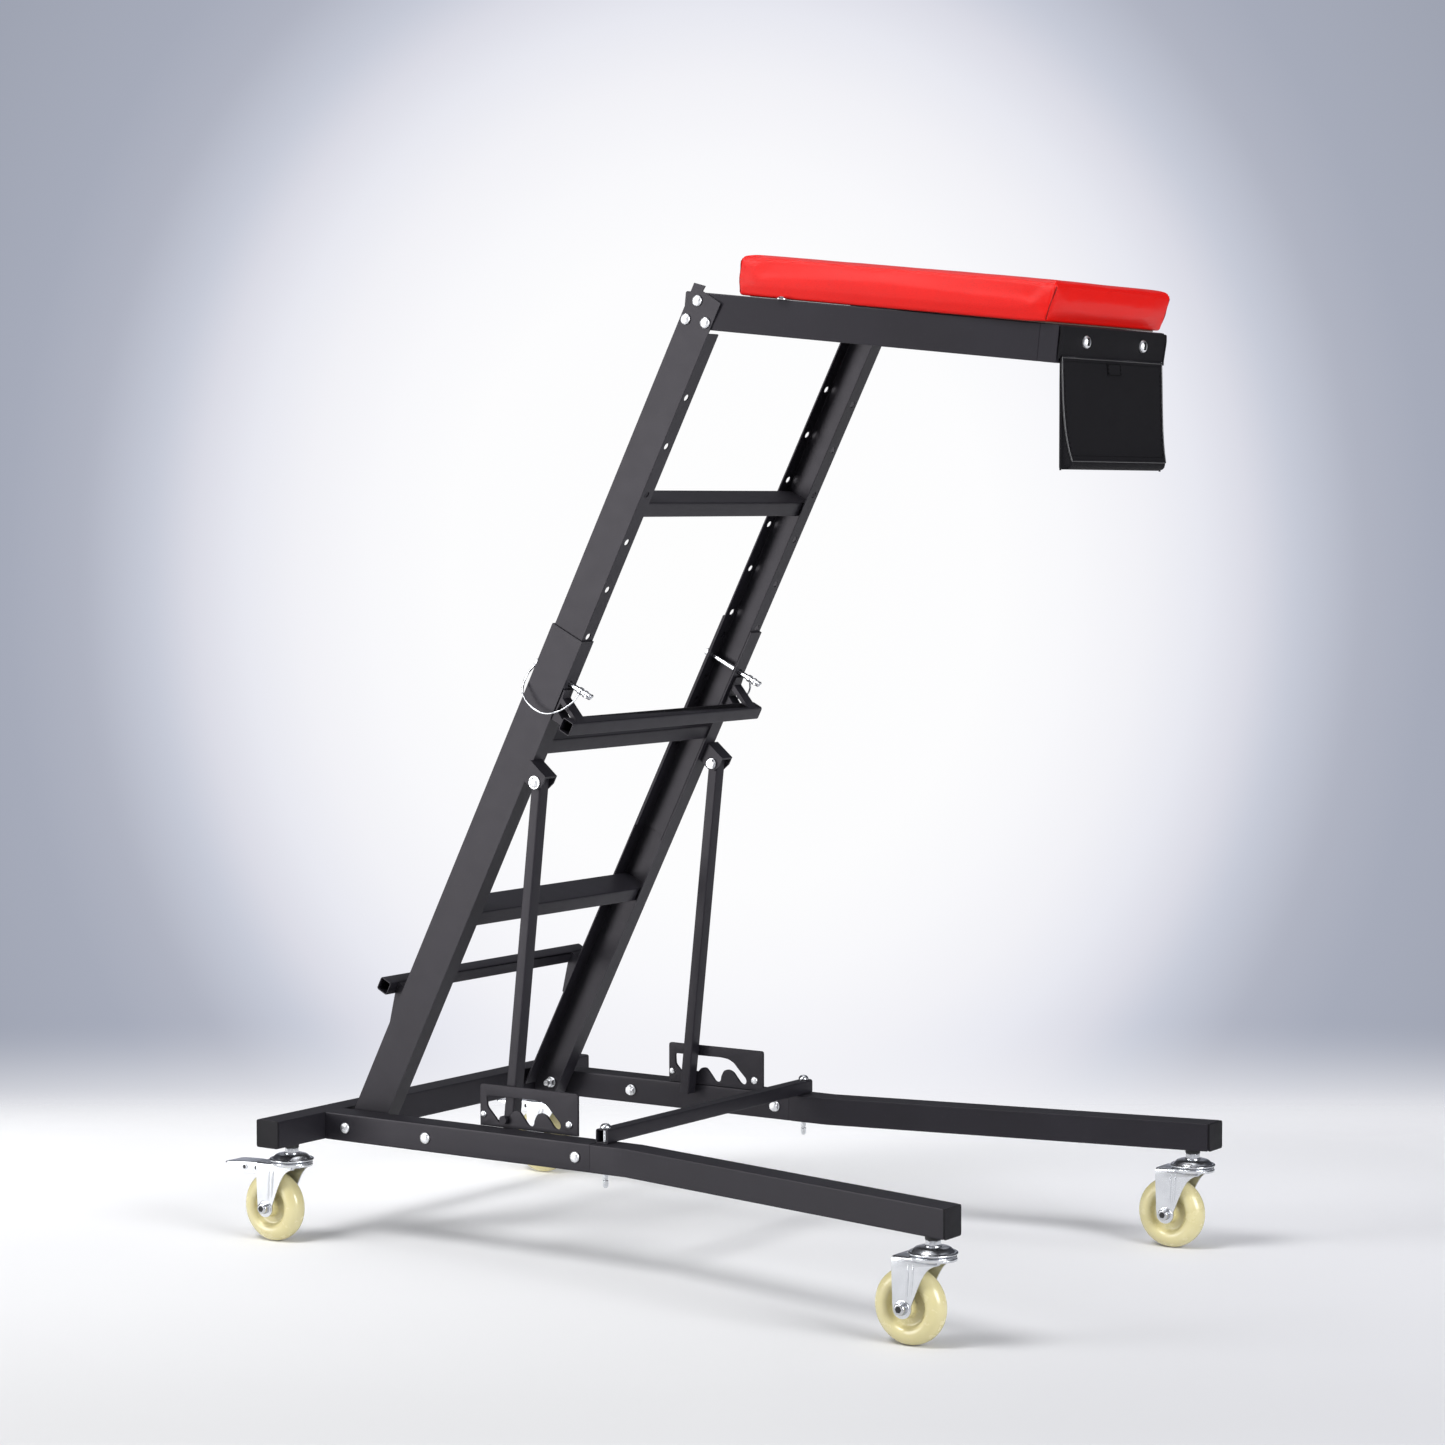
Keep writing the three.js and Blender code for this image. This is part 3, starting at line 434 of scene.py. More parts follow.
def woven(name, colour, thread, period, rough, shine):
    """Coarse nylon cloth: warp and weft in whichever two directions the face lies."""
    n = Surface(name)
    scale = 0.314 / period  # a wave texture of scale 1 repeats every 0.314 m
    bands = {"Vector": n.place, "Scale": scale, "Distortion": 0.25, "Detail": 1.0, "Detail Scale": 3.0}
    wave = {
        axis: n.add("TexWave", bands, wave_type="BANDS", bands_direction=axis, wave_profile="SIN").outputs[1]
        for axis in "XYZ"
    }
    facing = n.add("SeparateXYZ", {0: n.add("NewGeometry").outputs["True Normal"]}).outputs[1]
    sideways = n.span(n.math("ABSOLUTE", facing), 0.6, 0.8, 0.0, 1.0)
    on_front = n.math("MULTIPLY", n.math("MAXIMUM", wave["Y"], wave["Z"]), n.math("SUBTRACT", 1.0, sideways))
    on_side = n.math("MULTIPLY", n.math("MAXIMUM", wave["X"], wave["Z"]), sideways)
    weave = n.math("ADD", on_front, on_side)
    fuzz = n.noise(1500, 2.0, 0.7)
    tone = n.mix(n.math("MULTIPLY", weave, 0.5), colour, thread)
    return n.finish({
        "Base Color": n.mix(n.span(n.noise(22, 4.0, 0.6), 0.4, 0.75, 0.0, 0.4), tone, thread),
        "Roughness": n.span(fuzz, 0.3, 0.7, *rough),
        "Normal": n.bump(0.7, 0.0002, n.math("ADD", weave, n.math("MULTIPLY", fuzz, 0.4))),
        "Specular IOR Level": shine,
    })


BLACK = coated_steel("black_powder_coat", srgb(24, 23, 27), srgb(28, 27, 32))
PLASTIC = moulded("black_cap_plastic", srgb(27, 26, 29), srgb(22, 22, 24), (0.4, 0.5), 0.0002, shine=0.12)
ZINC = bright_metal("zinc_plate", srgb(226, 228, 231), srgb(214, 216, 220), (0.22, 0.27))
HEADS = bright_metal("bolt_head_zinc", srgb(238, 239, 241), srgb(228, 229, 231), (0.36, 0.42))
STEEL = bright_metal("bright_pin_steel", srgb(200, 201, 204), srgb(182, 184, 188), (0.2, 0.26), clouding=90)
# Painted shade: a dark colour for small discs and bars laid where a hole, socket, slot or the collar under
# the beam would be in shade.
SHADOW = moulded("painted_recess_shade", srgb(24, 24, 26), srgb(16, 16, 18), (0.5, 0.65))
NYLON = moulded("cream_nylon", srgb(206, 197, 152), srgb(199, 189, 140), (0.2, 0.3), more={
    "Coat Weight": 0.3,
    "Coat Roughness": 0.12,
    "Subsurface Weight": 0.12,
    "Subsurface Radius": (0.006, 0.005, 0.003),
    "Subsurface Scale": 1.0,
})
# The third colour is the painted shade of the grain's creases.
VINYL = vinyl("red_vinyl_skin", srgb(214, 19, 12), srgb(209, 17, 11), srgb(152, 12, 9))
# Painted shade: the corner seams' thread is a darker red that stands for the shade in their grooves.
SEAM_SHADE = moulded("red_seam_shade", srgb(118, 10, 10), srgb(104, 8, 9), (0.5, 0.7), grain=2600, shine=0.2)
CLOTH = woven("black_nylon_cloth", srgb(9, 8, 11), srgb(15, 14, 18), 0.0011, (0.62, 0.8), 0.15)
THREAD = moulded("black_thread", srgb(9, 9, 10), srgb(7, 7, 8), (0.6, 0.8), 0.00025, grain=2600, shine=0.05)
# Piping: its own dark vinyl, set a little lighter than the cloth as painted highlight along the pouch's
# edges.
PIPING = moulded("black_vinyl_piping", srgb(26, 25, 28), srgb(20, 19, 22), (0.28, 0.4), grain=1200, shine=0.6)
BOARD = woven("brown_lining_board", srgb(84, 68, 62), srgb(104, 86, 78), 0.0009, (0.75, 0.9), 0.2)


# ---- CAD steel that stays --------------------------------------------------
def crisp_folds():
    """Geometry nodes that shade a piece smooth but keep its folds crisp."""
    tree = bpy.data.node_groups.new("crisp_folds", "GeometryNodeTree")
    for way in ("INPUT", "OUTPUT"):
        tree.interface.new_socket("Geometry", in_out=way, socket_type="NodeSocketGeometry")
    start = tree.nodes.new("NodeGroupInput")
    end = tree.nodes.new("NodeGroupOutput")
    faces = tree.nodes.new("GeometryNodeSetShadeSmooth")
    faces.domain = "FACE"
    edges = tree.nodes.new("GeometryNodeSetShadeSmooth")
    edges.domain = "EDGE"
    angle = tree.nodes.new("GeometryNodeInputMeshEdgeAngle")
    test = tree.nodes.new("FunctionNodeCompare")
    test.operation = "LESS_THAN"
    test.inputs[1].default_value = math.radians(34)
    for source, target in (
        (angle.outputs[0], test.inputs[0]),
        (start.outputs[0], faces.inputs[0]),
        (faces.outputs[0], edges.inputs[0]),
        (test.outputs[0], edges.inputs["Shade Smooth"]),
        (edges.outputs[0], end.inputs[0]),
    ):
        tree.links.new(source, target)
    return tree


CRISP = crisp_folds()


def dress(name, skin, width=0.7):
    """A finish and softly broken edges for a CAD node that stays."""
    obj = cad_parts[name]
    if "custom_normal" in obj.data.attributes:
        obj.data.attributes.remove(obj.data.attributes["custom_normal"])
    weld = obj.modifiers.new("weld", "WELD")
    weld.merge_threshold = 1e-5
    flat = obj.modifiers.new("flat", "DECIMATE")
    flat.decimate_type = "DISSOLVE"
    flat.angle_limit = math.radians(0.6)
    turned_edges(obj, width, 50)
    shade = obj.modifiers.new("shade", "NODES")
    shade.node_group = CRISP
    even_normals(obj)
    obj.data.materials.clear()
    obj.data.materials.append(skin)


for plain in ("rear_beam", "cross_brace", "lower_step", "middle_step", "top_step", "front_cross_bar",
              "rear_cross_bar", "deck_front_beam"):
    dress(plain, BLACK)
for pair in ("side_rail", "leg", "lower_rail", "upper_rail", "strut_bracket", "strut", "deck_rail"):
    for side in SIDES:
        dress(f"{pair}_{side}", BLACK, 0.5 if pair == "strut_bracket" else 0.7)
for pair in ("beam_cap", "leg_cap"):
    for side in SIDES:
        dress(f"{pair}_{side}", PLASTIC, 1.2)


# ---- casters, each in its own place under its stem --------------------------
CASTERS = {"rear": (-20, 320), "front": (1068, 360)}  # from the beam's front, and out from the middle
AXLE_X = -32
AXLE_Z = 50
FORK_TOP = 115.5
FORK_HALF = 20.5
FORK_WALL = 2.5
FORK_OUTER = FORK_HALF + FORK_WALL


def caster_wheel(place, name):
    half = rounded(
        [(4.08, 18.4), (12.4, 18.4), (13.2, 9), (15.5, 6.4), (24.8, 6.0), (28.4, 13.4), (33, 16),
         (39.5, 15.6), (45.4, 12.2), (49, 7.2), (50, 3), (50, 0)],
        [0, 1.2, 2.2, 3.2, 2.6, 2.4, 3.2, 3.2, 3.0, 2.6, 2.0, 0], 4,
    )
    piece = Build(place @ Matrix.Translation((AXLE_X, 0, AXLE_Z)))
    piece.turned(half + [(r, -h) for r, h in reversed(half[:-1])], axis="Y", sides=80, closed=True)
    piece.index = 1
    sleeve = rounded([(4.2, 19.1), (7.2, 19.1), (7.2, -19.1), (4.2, -19.1)], 0.4, 2, closed=True)
    piece.turned(sleeve, axis="Y", sides=32, closed=True)
    return piece.mesh(name, [NYLON, STEEL], 40)


def caster_axle(place, name):
    """The axle bolt with its socket head at the near side, and its nut at the far one."""
    piece = Build(place @ Matrix.Translation((AXLE_X, 0, AXLE_Z)))
    piece.turned(rounded([(0, -24), (4, -24), (4, 29.5), (3.2, 30.5), (0, 30.5)], 0.5, 2), axis="Y", sides=32)
    for sign in (-1, 1):
        piece.disc((0, sign * 23.3, 0), "Y", 8.6, 1.5, sign=sign, edges=(0.4, 0.5))
    head = rounded([(4.4, 6.6), (6.2, 6.6), (7.8, 5.0), (8.2, 0), (0, 0), (0, 3.6), (4.4, 3.6)],
                   [0.4, 0.8, 0.9, 0.2, 0, 0, 0.2])
    piece.turned(head, (0, -24.8, 0), "Y", 40, -1)
    piece.hexagon((0, 24.8, 0), "Y", 12.6, 4.6)
    piece.turned(rounded([(0, 0), (5.2, 0), (5.0, 1.5), (3.4, 1.9), (0, 1.9)], 0.4, 2), (0, 29.2, 0), "Y", 32)
    # The socket's hollow is a dark disc of painted shade, standing just proud of the head.
    piece.index = 1
    piece.disc((0, -31.2, 0), "Y", 4.6, 0.5, 6, -1, edges=(0, 0))
    return piece.mesh(name, [STEEL, SHADOW], 40)


def fork_shell():
    """The pressed fork: a U of sheet steel, its sides cut to a swept outline. Made once, in millimetres."""
    def solid(name, outline, low, high, axis):
        body = Build(Matrix.Identity(4))
        body.prism(outline, low, high, axis)
        return body.mesh(name, [], even=False)

    inner_top = FORK_TOP - 3
    sheet = rounded([(-FORK_OUTER, 30), (-FORK_OUTER, FORK_TOP), (FORK_OUTER, FORK_TOP), (FORK_OUTER, 30)],
                    [0, 6, 6, 0], 5)
    sheet += rounded([(FORK_HALF, 30), (FORK_HALF, inner_top), (-FORK_HALF, inner_top), (-FORK_HALF, 30)],
                     [0, 4, 4, 0], 5)
    from_side = [(AXLE_X - 15.5, 130), (AXLE_X - 15.5, 100), (AXLE_X - 13.8, 56)]
    from_side += arc((AXLE_X, AXLE_Z), (13.4, 13.4), 200, 360, 12)
    from_side += curve_points((AXLE_X + 13.2, 54), (AXLE_X + 26, 84), (AXLE_X + 32, 107), (20, 109.5), 12)
    from_side += [(30, 110.5), (33, 112), (40, 112), (40, 130)]
    from_above = [(AXLE_X - 20, -30), (6, -30), (13, -23.9)] + arc((0, 0), (32, 27), -62, 62, 16)
    from_above += [(13, 23.9), (6, 30), (AXLE_X - 20, 30)]
    shell = solid("fork_shell", sheet, -60, 50, "X")
    cutters = [solid("side_cut", from_side, -40, 40, "Y"), solid("plan_cut", from_above, 20, 130, "Z")]
    for cutter in cutters:
        common = shell.modifiers.new("common", "BOOLEAN")
        common.operation = "INTERSECT"
        common.solver = "EXACT"
        common.object = cutter
    applied(shell)
    for cutter in cutters:
        bpy.data.objects.remove(cutter)
    return shell


def caster_fork(place, name, shell):
    """The fork's shell, with pressed ridges, axle pads and the cup under the race."""
    piece = Build(place)
    ridges = (((AXLE_X + 7, 62), (AXLE_X + 9.5, 108)), ((AXLE_X + 13, 66), (AXLE_X + 17, 108)))
    size = [0.5, 1.3] + [1.7] * 8 + [1.3, 0.5]
    last = len(size) - 1
    for sign in SIDES.values():
        for (x0, z0), (x1, z1) in ridges:
            y = sign * (FORK_OUTER - 0.4)
            low, high = Vector((x0, y, z0)), Vector((x1, y, z1))
            piece.swept([low.lerp(high, k / last) for k in range(last + 1)], size, 12)
        pad = rounded([(0, 0), (11, 0), (10.2, 1.0), (0, 1.0)], 0.5)
        piece.turned(pad, (AXLE_X, sign * (FORK_OUTER - 0.3), AXLE_Z), "Y", 40, sign)
    cup = rounded([(9, 111), (24, 111), (29.4, 113.2), (30.2, 117.3), (27.6, 118.7), (9, 118.7)],
                  [0, 2, 2, 1, 1, 0], closed=True)
    piece.turned(cup, sides=64, closed=True)
    made = len(piece.bm.verts)
    piece.bm.from_mesh(shell.data)
    for vertex in list(piece.bm.verts)[made:]:
        vertex.co = place @ vertex.co
    obj = piece.mesh(name, [ZINC], 38)
    edges = turned_edges(obj, 0.5, 60)
    edges.use_clamp_overlap = False
    edges.harden_normals = True
    return obj


def caster_stem(place, name):
    """The race's upper half, and the threaded stud with its nut and the dark collar under the beam."""
    piece = Build(place)
    race = rounded(
        [(0, 108.2), (8.6, 108.2), (8.6, 111.2), (6, 111.2), (6, 119.2), (29.5, 119.2), (32, 120.6),
         (31.6, 122.4), (29.2, 123.2), (27.6, 122.6), (26, 124.8), (22.4, 128.2), (17, 129.4), (12, 129.6),
         (0, 129.6)],
        [0, 0.8, 0.4, 0, 0, 1, 1, 0.8, 0.8, 0.8, 1.5, 2, 2, 0, 0],
    )
    piece.turned(race, sides=72)
    piece.disc((0, 0, 129), "Z", 11.4, 1.6, edges=(0.5, 0.5))
    piece.hexagon((0, 0, 130.4), "Z", 17, 7.4)
    piece.turned(rounded([(0, 137.6), (6, 137.6), (6, 156), (4.6, 158), (0, 158)], 0.5, 2), sides=32)
    # The collar under the beam is coloured with the painted shade.
    piece.index = 1
    piece.disc((0, 0, 137.6), "Z", 10.4, 6.1, edges=(0.8, 0.8))
    return piece.mesh(name, [ZINC, SHADOW], 38)


def brake_pedal(place, name):
    """A pressed lever: flat top that widens to a blunt end, and flanges folded down either side."""
    piece = Build(place)
    sheet = 2.0
    rings = []
    for x, half, top, flange in (
        (-29, 11.5, 107.4, 3.0), (-38, 12, 108.5, 9), (-46, 12.6, 111.4, 13), (-53, 13.5, 112.6, 16.3),
        (-64, 15, 112.6, 17.4), (-75, 16.4, 112.2, 16.8), (-84, 17.4, 111.6, 12.4), (-93, 18.2, 111.0, 8),
        (-101, 18.8, 110.4, 5.0), (-107, 18.6, 109.8, 3.4), (-110.5, 17.4, 109.2, 2.4),
    ):
        outer = [(-half, top - flange), (-half, top), (half, top), (half, top - flange)]
        within, under = half - sheet, top - sheet
        inner = [(within, top - flange), (within, under), (-within, under), (-within, top - flange)]
        section = rounded(outer + inner, [0.4, 2.4, 2.4, 0.4, 0.4, 0.8, 0.8, 0.4], closed=True)
        rings.append([(x, u, v) for u, v in section])
    piece.rings(rings)
    piece.disc((-38, -20.1, 106), "Y", 3, 40.2, 24, edges=(0.5, 0.5))
    # Small washers, each with a dark disc of painted shade where its hole is.
    for index, (radius, height) in enumerate(((4.4, 0.7), (3.0, 0.85))):
        piece.index = index
        for x, out, z in ((-55, 13.65, 104.6), (-75, 16.25, 104.4)):
            for sign in SIDES.values():
                piece.disc((x, sign * out, z), "Y", radius, height, 24, sign, edges=(0.3, 0.3))
    return piece.mesh(name, [ZINC, SHADOW], 38)


shell = fork_shell()
for end, (x, y) in CASTERS.items():
    for side, sign in SIDES.items():
        key = f"{end}_{side}"
        at = BASE @ Matrix.Translation((x, sign * y, 0))
        settle(caster_wheel(at, f"wheel_{key}_look"), f"wheel_{key}", "nylon", f"caster_wheel_{key}")
        settle(caster_axle(at, f"axle_{key}_look"), f"fork_{key}", "steel_pin", f"caster_axle_{key}")
        settle(caster_fork(at, f"fork_{key}_look", shell), f"fork_{key}", "zinc", f"caster_fork_{key}")
        settle(caster_stem(at, f"stem_{key}_look"), "base", "zinc", f"caster_stem_{key}")
        if end == "rear":
            settle(brake_pedal(at, f"pedal_{key}_look"), f"pedal_{key}", "zinc", f"brake_pedal_{key}")
bpy.data.objects.remove(shell)


# ---- bolts -----------------------------------------------------------------
def dome_head(piece, centre, radius, height, sign, washer=0.0):
    """A domed head across Y, on a washer where one shows."""
    if washer:
        piece.disc(centre, "Y", washer, 1.3, sign=sign, edges=(0.4, 0.5))
    profile = [(0, 0), (radius * 0.94, 0)] + dome(radius, height * 0.22, height, 0.8)
    piece.turned(profile, centre, "Y", 40, sign)


def bolt_pair(name, place, x, z, out, body, head, nut, replaced=None, washer=0.0):
    """The near bolt and its mirror image: a domed head outside, a shank, and a locknut inside.

    out is how far from the middle the head's foot, the shank's end and the nut's outer face lie. head is a
    radius and a height, nut a width across its flats and a height, and replaced the CAD bolt's name.
    """
    head_y, tail_y, nut_y = out
    across, nut_height = nut
    flange = 1.3
    for side, sign in SIDES.items():
        piece = Build(place)
        dome_head(piece, (x, sign * head_y, z), *head, sign, washer)
        piece.disc((x, min(sign * head_y, sign * tail_y), z), "Y", 4, head_y - tail_y, 24, edges=(0.6, 0.6))
        piece.disc((x, sign * nut_y, z), "Y", across * 0.62, flange, sign=-sign)
        piece.hexagon((x, sign * (nut_y - flange), z), "Y", across, nut_height - 2 * flange, -sign)
        collar = rounded([(0, 0), (across * 0.42, 0), (across * 0.38, 1.4), (0, 1.4)], [0, 0.3, 0.5, 0], 2)
        piece.turned(collar, (x, sign * (nut_y - nut_height + 1.4), z), "Y", 32, -sign)
        names = [f"{replaced}_{side}"] if replaced else []
        settle(piece.mesh(f"{name}_{side}", [HEADS], 38), body, "zinc", *names)


bolt_pair("pivot_bolt", BASE, PIVOT_X, RAIL_MIDDLE, (RAIL_OUTER + 0.3, 207, LADDER_HALF - 2.3),
          "base", (7.8, 4.6), (13, 7.5), "ladder_pivot_bolt")
bolt_pair("joint_bolt", BASE, 446, RAIL_MIDDLE, (RAIL_OUTER + 0.3, 221, RAIL_INNER - 0.3),
          "base", (7.8, 4.6), (13, 7.5), "leg_bolt")
bolt_pair("rail_bolt", BASE, 184, RAIL_MIDDLE, (RAIL_OUTER + 0.3, 221, RAIL_INNER - 0.3),
          "base", (8.2, 4.4), (13, 7.5))
bolt_pair("strut_bolt", LADDER, 48.7, 593, (231.8, 205, 204.2),
          "lower_ladder", (7.4, 4.4), (12.5, 7.0), "strut_bolt", washer=9.2)


def head_bolts(side, sign):
    """Three short bolts that hold a deck rail to the head of an upper rail."""
    piece = Build(BASE)
    for x, z in ((616.2, 1326.3), (597.3, 1302.5), (628.9, 1296.6)):
        dome_head(piece, (x, sign * 221.8, z), 7.6, 4.2, sign)
    return piece.mesh(f"head_bolts_{side}", [HEADS], 38)


# ---- slotted plates --------------------------------------------------------
PLATE_INNER = RAIL_INNER
PLATE_OUTER = PLATE_INNER + 4
PLATE = [(254, 184.3), (424, 184.3), (424, 243.3), (254, 243.3)]
# Forwards along the channel's top, then back over the three teeth, behind which a strut's pin drops.
PLATE_OPENING = [
    (265.5, 227.5), (349, 228), (362, 226.5), (372, 221.5), (380, 213), (394, 199.5), (394.6, 193.5),
    (390, 190), (384.3, 192.2), (370.4, 208.3), (362, 211), (354, 209), (348.6, 199), (348.3, 192.5),
    (343, 190), (338.5, 191.5), (329.6, 202.3), (322, 210.5), (313, 209.5), (304, 199.5), (303.4, 192.5),
    (298.5, 190), (287, 190.5), (280.4, 197.6), (266.3, 211.8),
]


def slot_plate(side, sign):
    piece = Build(BASE)
    outline = rounded(PLATE, [0.5, 0.5, 4, 4], closed=True)
    low, high = sorted((sign * PLATE_INNER, sign * PLATE_OUTER))
    piece.plate(outline, rounded(PLATE_OPENING, 3, 2, closed=True), low, high, 0.5)
    return piece.mesh(f"slot_plate_{side}_look", [BLACK], 50)


def plate_bolts(side, sign):
    """The two bolts of a slotted plate, domed on both faces."""
    piece = Build(BASE)
    for x, z, radius in ((409, 199, 5.6), (260.2, 200.5, 4.8)):
        dome_head(piece, (x, sign * (PLATE_OUTER - 0.1), z), radius, 3.2, sign)
        dome_head(piece, (x, sign * (PLATE_INNER + 0.1), z), radius, 3.2, -sign)
    return piece.mesh(f"plate_bolts_{side}", [HEADS], 38)


for side, sign in SIDES.items():
    settle(head_bolts(side, sign), "upper_ladder", "zinc")
    settle(plate_bolts(side, sign), "base", "zinc")
    settle(slot_plate(side, sign), "base", "black_steel", f"slot_plate_{side}")


# ---- quick pins ------------------------------------------------------------
LOCK_Y = 210
LOCK_Z = 735.7
LOCK_FRONT = 67
LOCK_REAR = -37
BAIL_DROP = 50


def lock_pin(side, sign):
    """A cross pin through both flanges, with a wire bail snapped round the rail."""
    piece = Build(LADDER)
    shank_end = LOCK_FRONT - 12
    rod = rounded(
        [(0, LOCK_REAR), (3.0, LOCK_REAR), (3.8, LOCK_REAR + 1.5), (3.8, shank_end), (5.2, shank_end),
         (5.2, LOCK_FRONT - 8.5), (4.4, LOCK_FRONT - 7.8), (4.4, LOCK_FRONT - 1.5), (3.4, LOCK_FRONT),
         (0, LOCK_FRONT)],
        [0, 0.6, 0.6, 0.2, 0.5, 0.5, 0.3, 0.6, 0.6, 0],
    )
    piece.turned(rod, (0, sign * LOCK_Y, LOCK_Z), "X", 32)
    piece.disc((LOCK_FRONT - 4, sign * LOCK_Y - 8.6, LOCK_Z), "Y", 2.3, 17.2, 20, edges=(0.8, 0.8), steps=3)
    rear, front = LOCK_REAR + 2, LOCK_FRONT - 19
    steps = 56
    path = []
    for i in range(steps + 1):
        turn = i / steps * math.pi
        reach = math.sin(turn) ** 0.8 if 0 < i < steps else 0.0
        spread = 1 + 0.06 * min(1, min(i, steps - i) / 4)
        x = (rear + front) / 2 + (front - rear) / 2 * math.cos(turn) * spread
        out = LOCK_Y + (LADDER_HALF + 12 - LOCK_Y) * min(1, 1.25 * reach)
        path.append((x, sign * out, LOCK_Z - BAIL_DROP * reach))
    piece.swept(path, 1.4, 12)
    collar = rounded([(3.9, -2.6), (5.4, -2.6), (5.4, 2.6), (3.9, 2.6)], 0.7, closed=True)
    for x in (rear, front):
        piece.turned(collar, (x, sign * LOCK_Y, LOCK_Z), "X", 32, closed=True)
    return piece.mesh(f"lock_pin_{side}_look", [STEEL], 38)


def brace_pin(side, sign):
    """A grooved pin with a domed head, dropped through the brace and the side rail."""
    piece = Build(BASE)
    seat = 204.6
    rod = rounded(
        [(0, 122), (2.2, 122), (3.8, 125), (3.8, 132), (3.0, 132.6), (3.0, 134.2), (3.8, 134.8),
         (3.8, seat), (7.4, seat), (7.4, seat + 1.9), (6.4, seat + 4.1), (4.6, seat + 5.7),
         (2.2, seat + 6.5), (0, seat + 6.7)],
        [0, 0.8, 0.8, 0.2, 0.3, 0.3, 0.2, 0, 0.5, 0.8, 1.2, 1, 1, 0],
    )
    piece.turned(rod, (483, sign * 250, 0), "Z", 36)
    return piece.mesh(f"brace_pin_{side}_look", [ZINC], 38)


for side, sign in SIDES.items():
    settle(lock_pin(side, sign), "lower_ladder", "steel_pin", f"lock_pin_{side}")
    settle(brace_pin(side, sign), f"brace_pin_{side}", "zinc", f"brace_pin_{side}")


# ---- pad -------------------------------------------------------------------
PAD_START = 64
PAD_LENGTH = 455
PAD_END = PAD_START + PAD_LENGTH
PAD_MIDDLE = PAD_START + PAD_LENGTH / 2
PAD_FOOT = 6.6
PAD_THICK = 48
PAD_TOP = PAD_FOOT + PAD_THICK
PAD_REAR = 212
PAD_FRONT = 160
PAD_CORNERS = [
    (x, sy * half, sx, sy)
    for x, half, sx in ((PAD_END, PAD_FRONT, 1), (PAD_START, PAD_REAR, -1)) for sy in (-1, 1)
]
PAD_EDGE = 5.5
PAD_SHOULDER = 7.5
PAD_CORNER = 4.5
PAD_BELLY = 1.0
PAD_SLACK = 1.0
FRONT_UNDERCUT = 11.5
REAR_UNDERCUT = 3.0


def share(value, start, end):
    """How far a value has come from start to end, from 0 to 1."""
    return min(1.0, max(0.0, (value - start) / (end - start)))


def pad_half(x):
    """The pad's half width at a place along it."""
    return PAD_REAR + (PAD_FRONT - PAD_REAR) * (x - PAD_START) / PAD_LENGTH


def pad_lean(x, z):
    """How far an end face has drawn in at a height: much at the front, a little at the rear."""
    along = (x - PAD_MIDDLE) / (PAD_LENGTH / 2)
    deep = FRONT_UNDERCUT if along > 0 else REAR_UNDERCUT
    return deep * along * (1 - share(z, PAD_FOOT, PAD_TOP - 6))


def pad_outline():
    """Points round the pad, close together at its four corners."""
    steps = 6
    corners = [(PAD_START, -PAD_REAR), (PAD_END, -PAD_FRONT), (PAD_END, PAD_FRONT), (PAD_START, PAD_REAR)]
    turns = rounded(corners, PAD_CORNER, steps, closed=True)
    out = []
    for k in range(4):
        turn = turns[k * (steps + 1):(k + 1) * (steps + 1)]
        start, end = Vector(turn[-1]), Vector(turns[(k + 1) * (steps + 1) % len(turns)])
        count = round((end - start).length / 8)
        out += turn
        for i in range(1, count):
            t = i / count
            t = 0.6 * t + 0.4 * (0.5 - 0.5 * math.cos(math.pi * t))
            out.append(start.lerp(end, t).to_tuple())
    return out if len(out) % 2 == 0 else out[:-1]


def pad_cover():
    """The cover before it is filled: lip under the edge, upright sides, a turned top edge and a flat top."""
    base = pad_outline()

    def ring(inset, z, scale=1.0, foot=False):
        line = []
        for x, y in base:
            rise = z + (1.2 * share(x, PAD_END - 26, PAD_END - 4) if foot else 0)
            u = (x - PAD_MIDDLE) * (1 - inset / (PAD_LENGTH / 2)) * scale
            v = y * (1 - inset / pad_half(x)) * scale
            line.append((PAD_MIDDLE + u - pad_lean(x, rise) * scale, v, rise))
        return line

    top = PAD_TOP - PAD_SLACK
    shoulder = top - PAD_SHOULDER
    rings = [ring(10.5, PAD_FOOT), ring(10.5, 1.0, foot=True), ring(PAD_SLACK + 2, 0.8, foot=True),
             ring(PAD_SLACK, 2.4, foot=True)]
    for z in (*range(7, 36, 4), shoulder):
        rings.append(ring(PAD_SLACK - PAD_BELLY * math.sin(math.pi * min(1.0, z / (shoulder + 4))), z))
    for k in range(1, 10):
        a = math.radians(10 * k)
        rings.append(ring(PAD_SLACK + PAD_EDGE * (1 - math.cos(a)), shoulder + PAD_SHOULDER * math.sin(a)))
    for k in range(1, 27):
        scale = 1 - 0.97 * k / 26
        rings.append(ring(PAD_SLACK + PAD_EDGE, top + 1.6 * (1 - scale * scale), scale))
    piece = Build(DECK)
    piece.rings(rings, caps=False)
    piece.strips(rings[0])
    piece.strips(rings[-1])
    return piece.mesh("pad_look", [VINYL, SEAM_SHADE], 80, even=False)


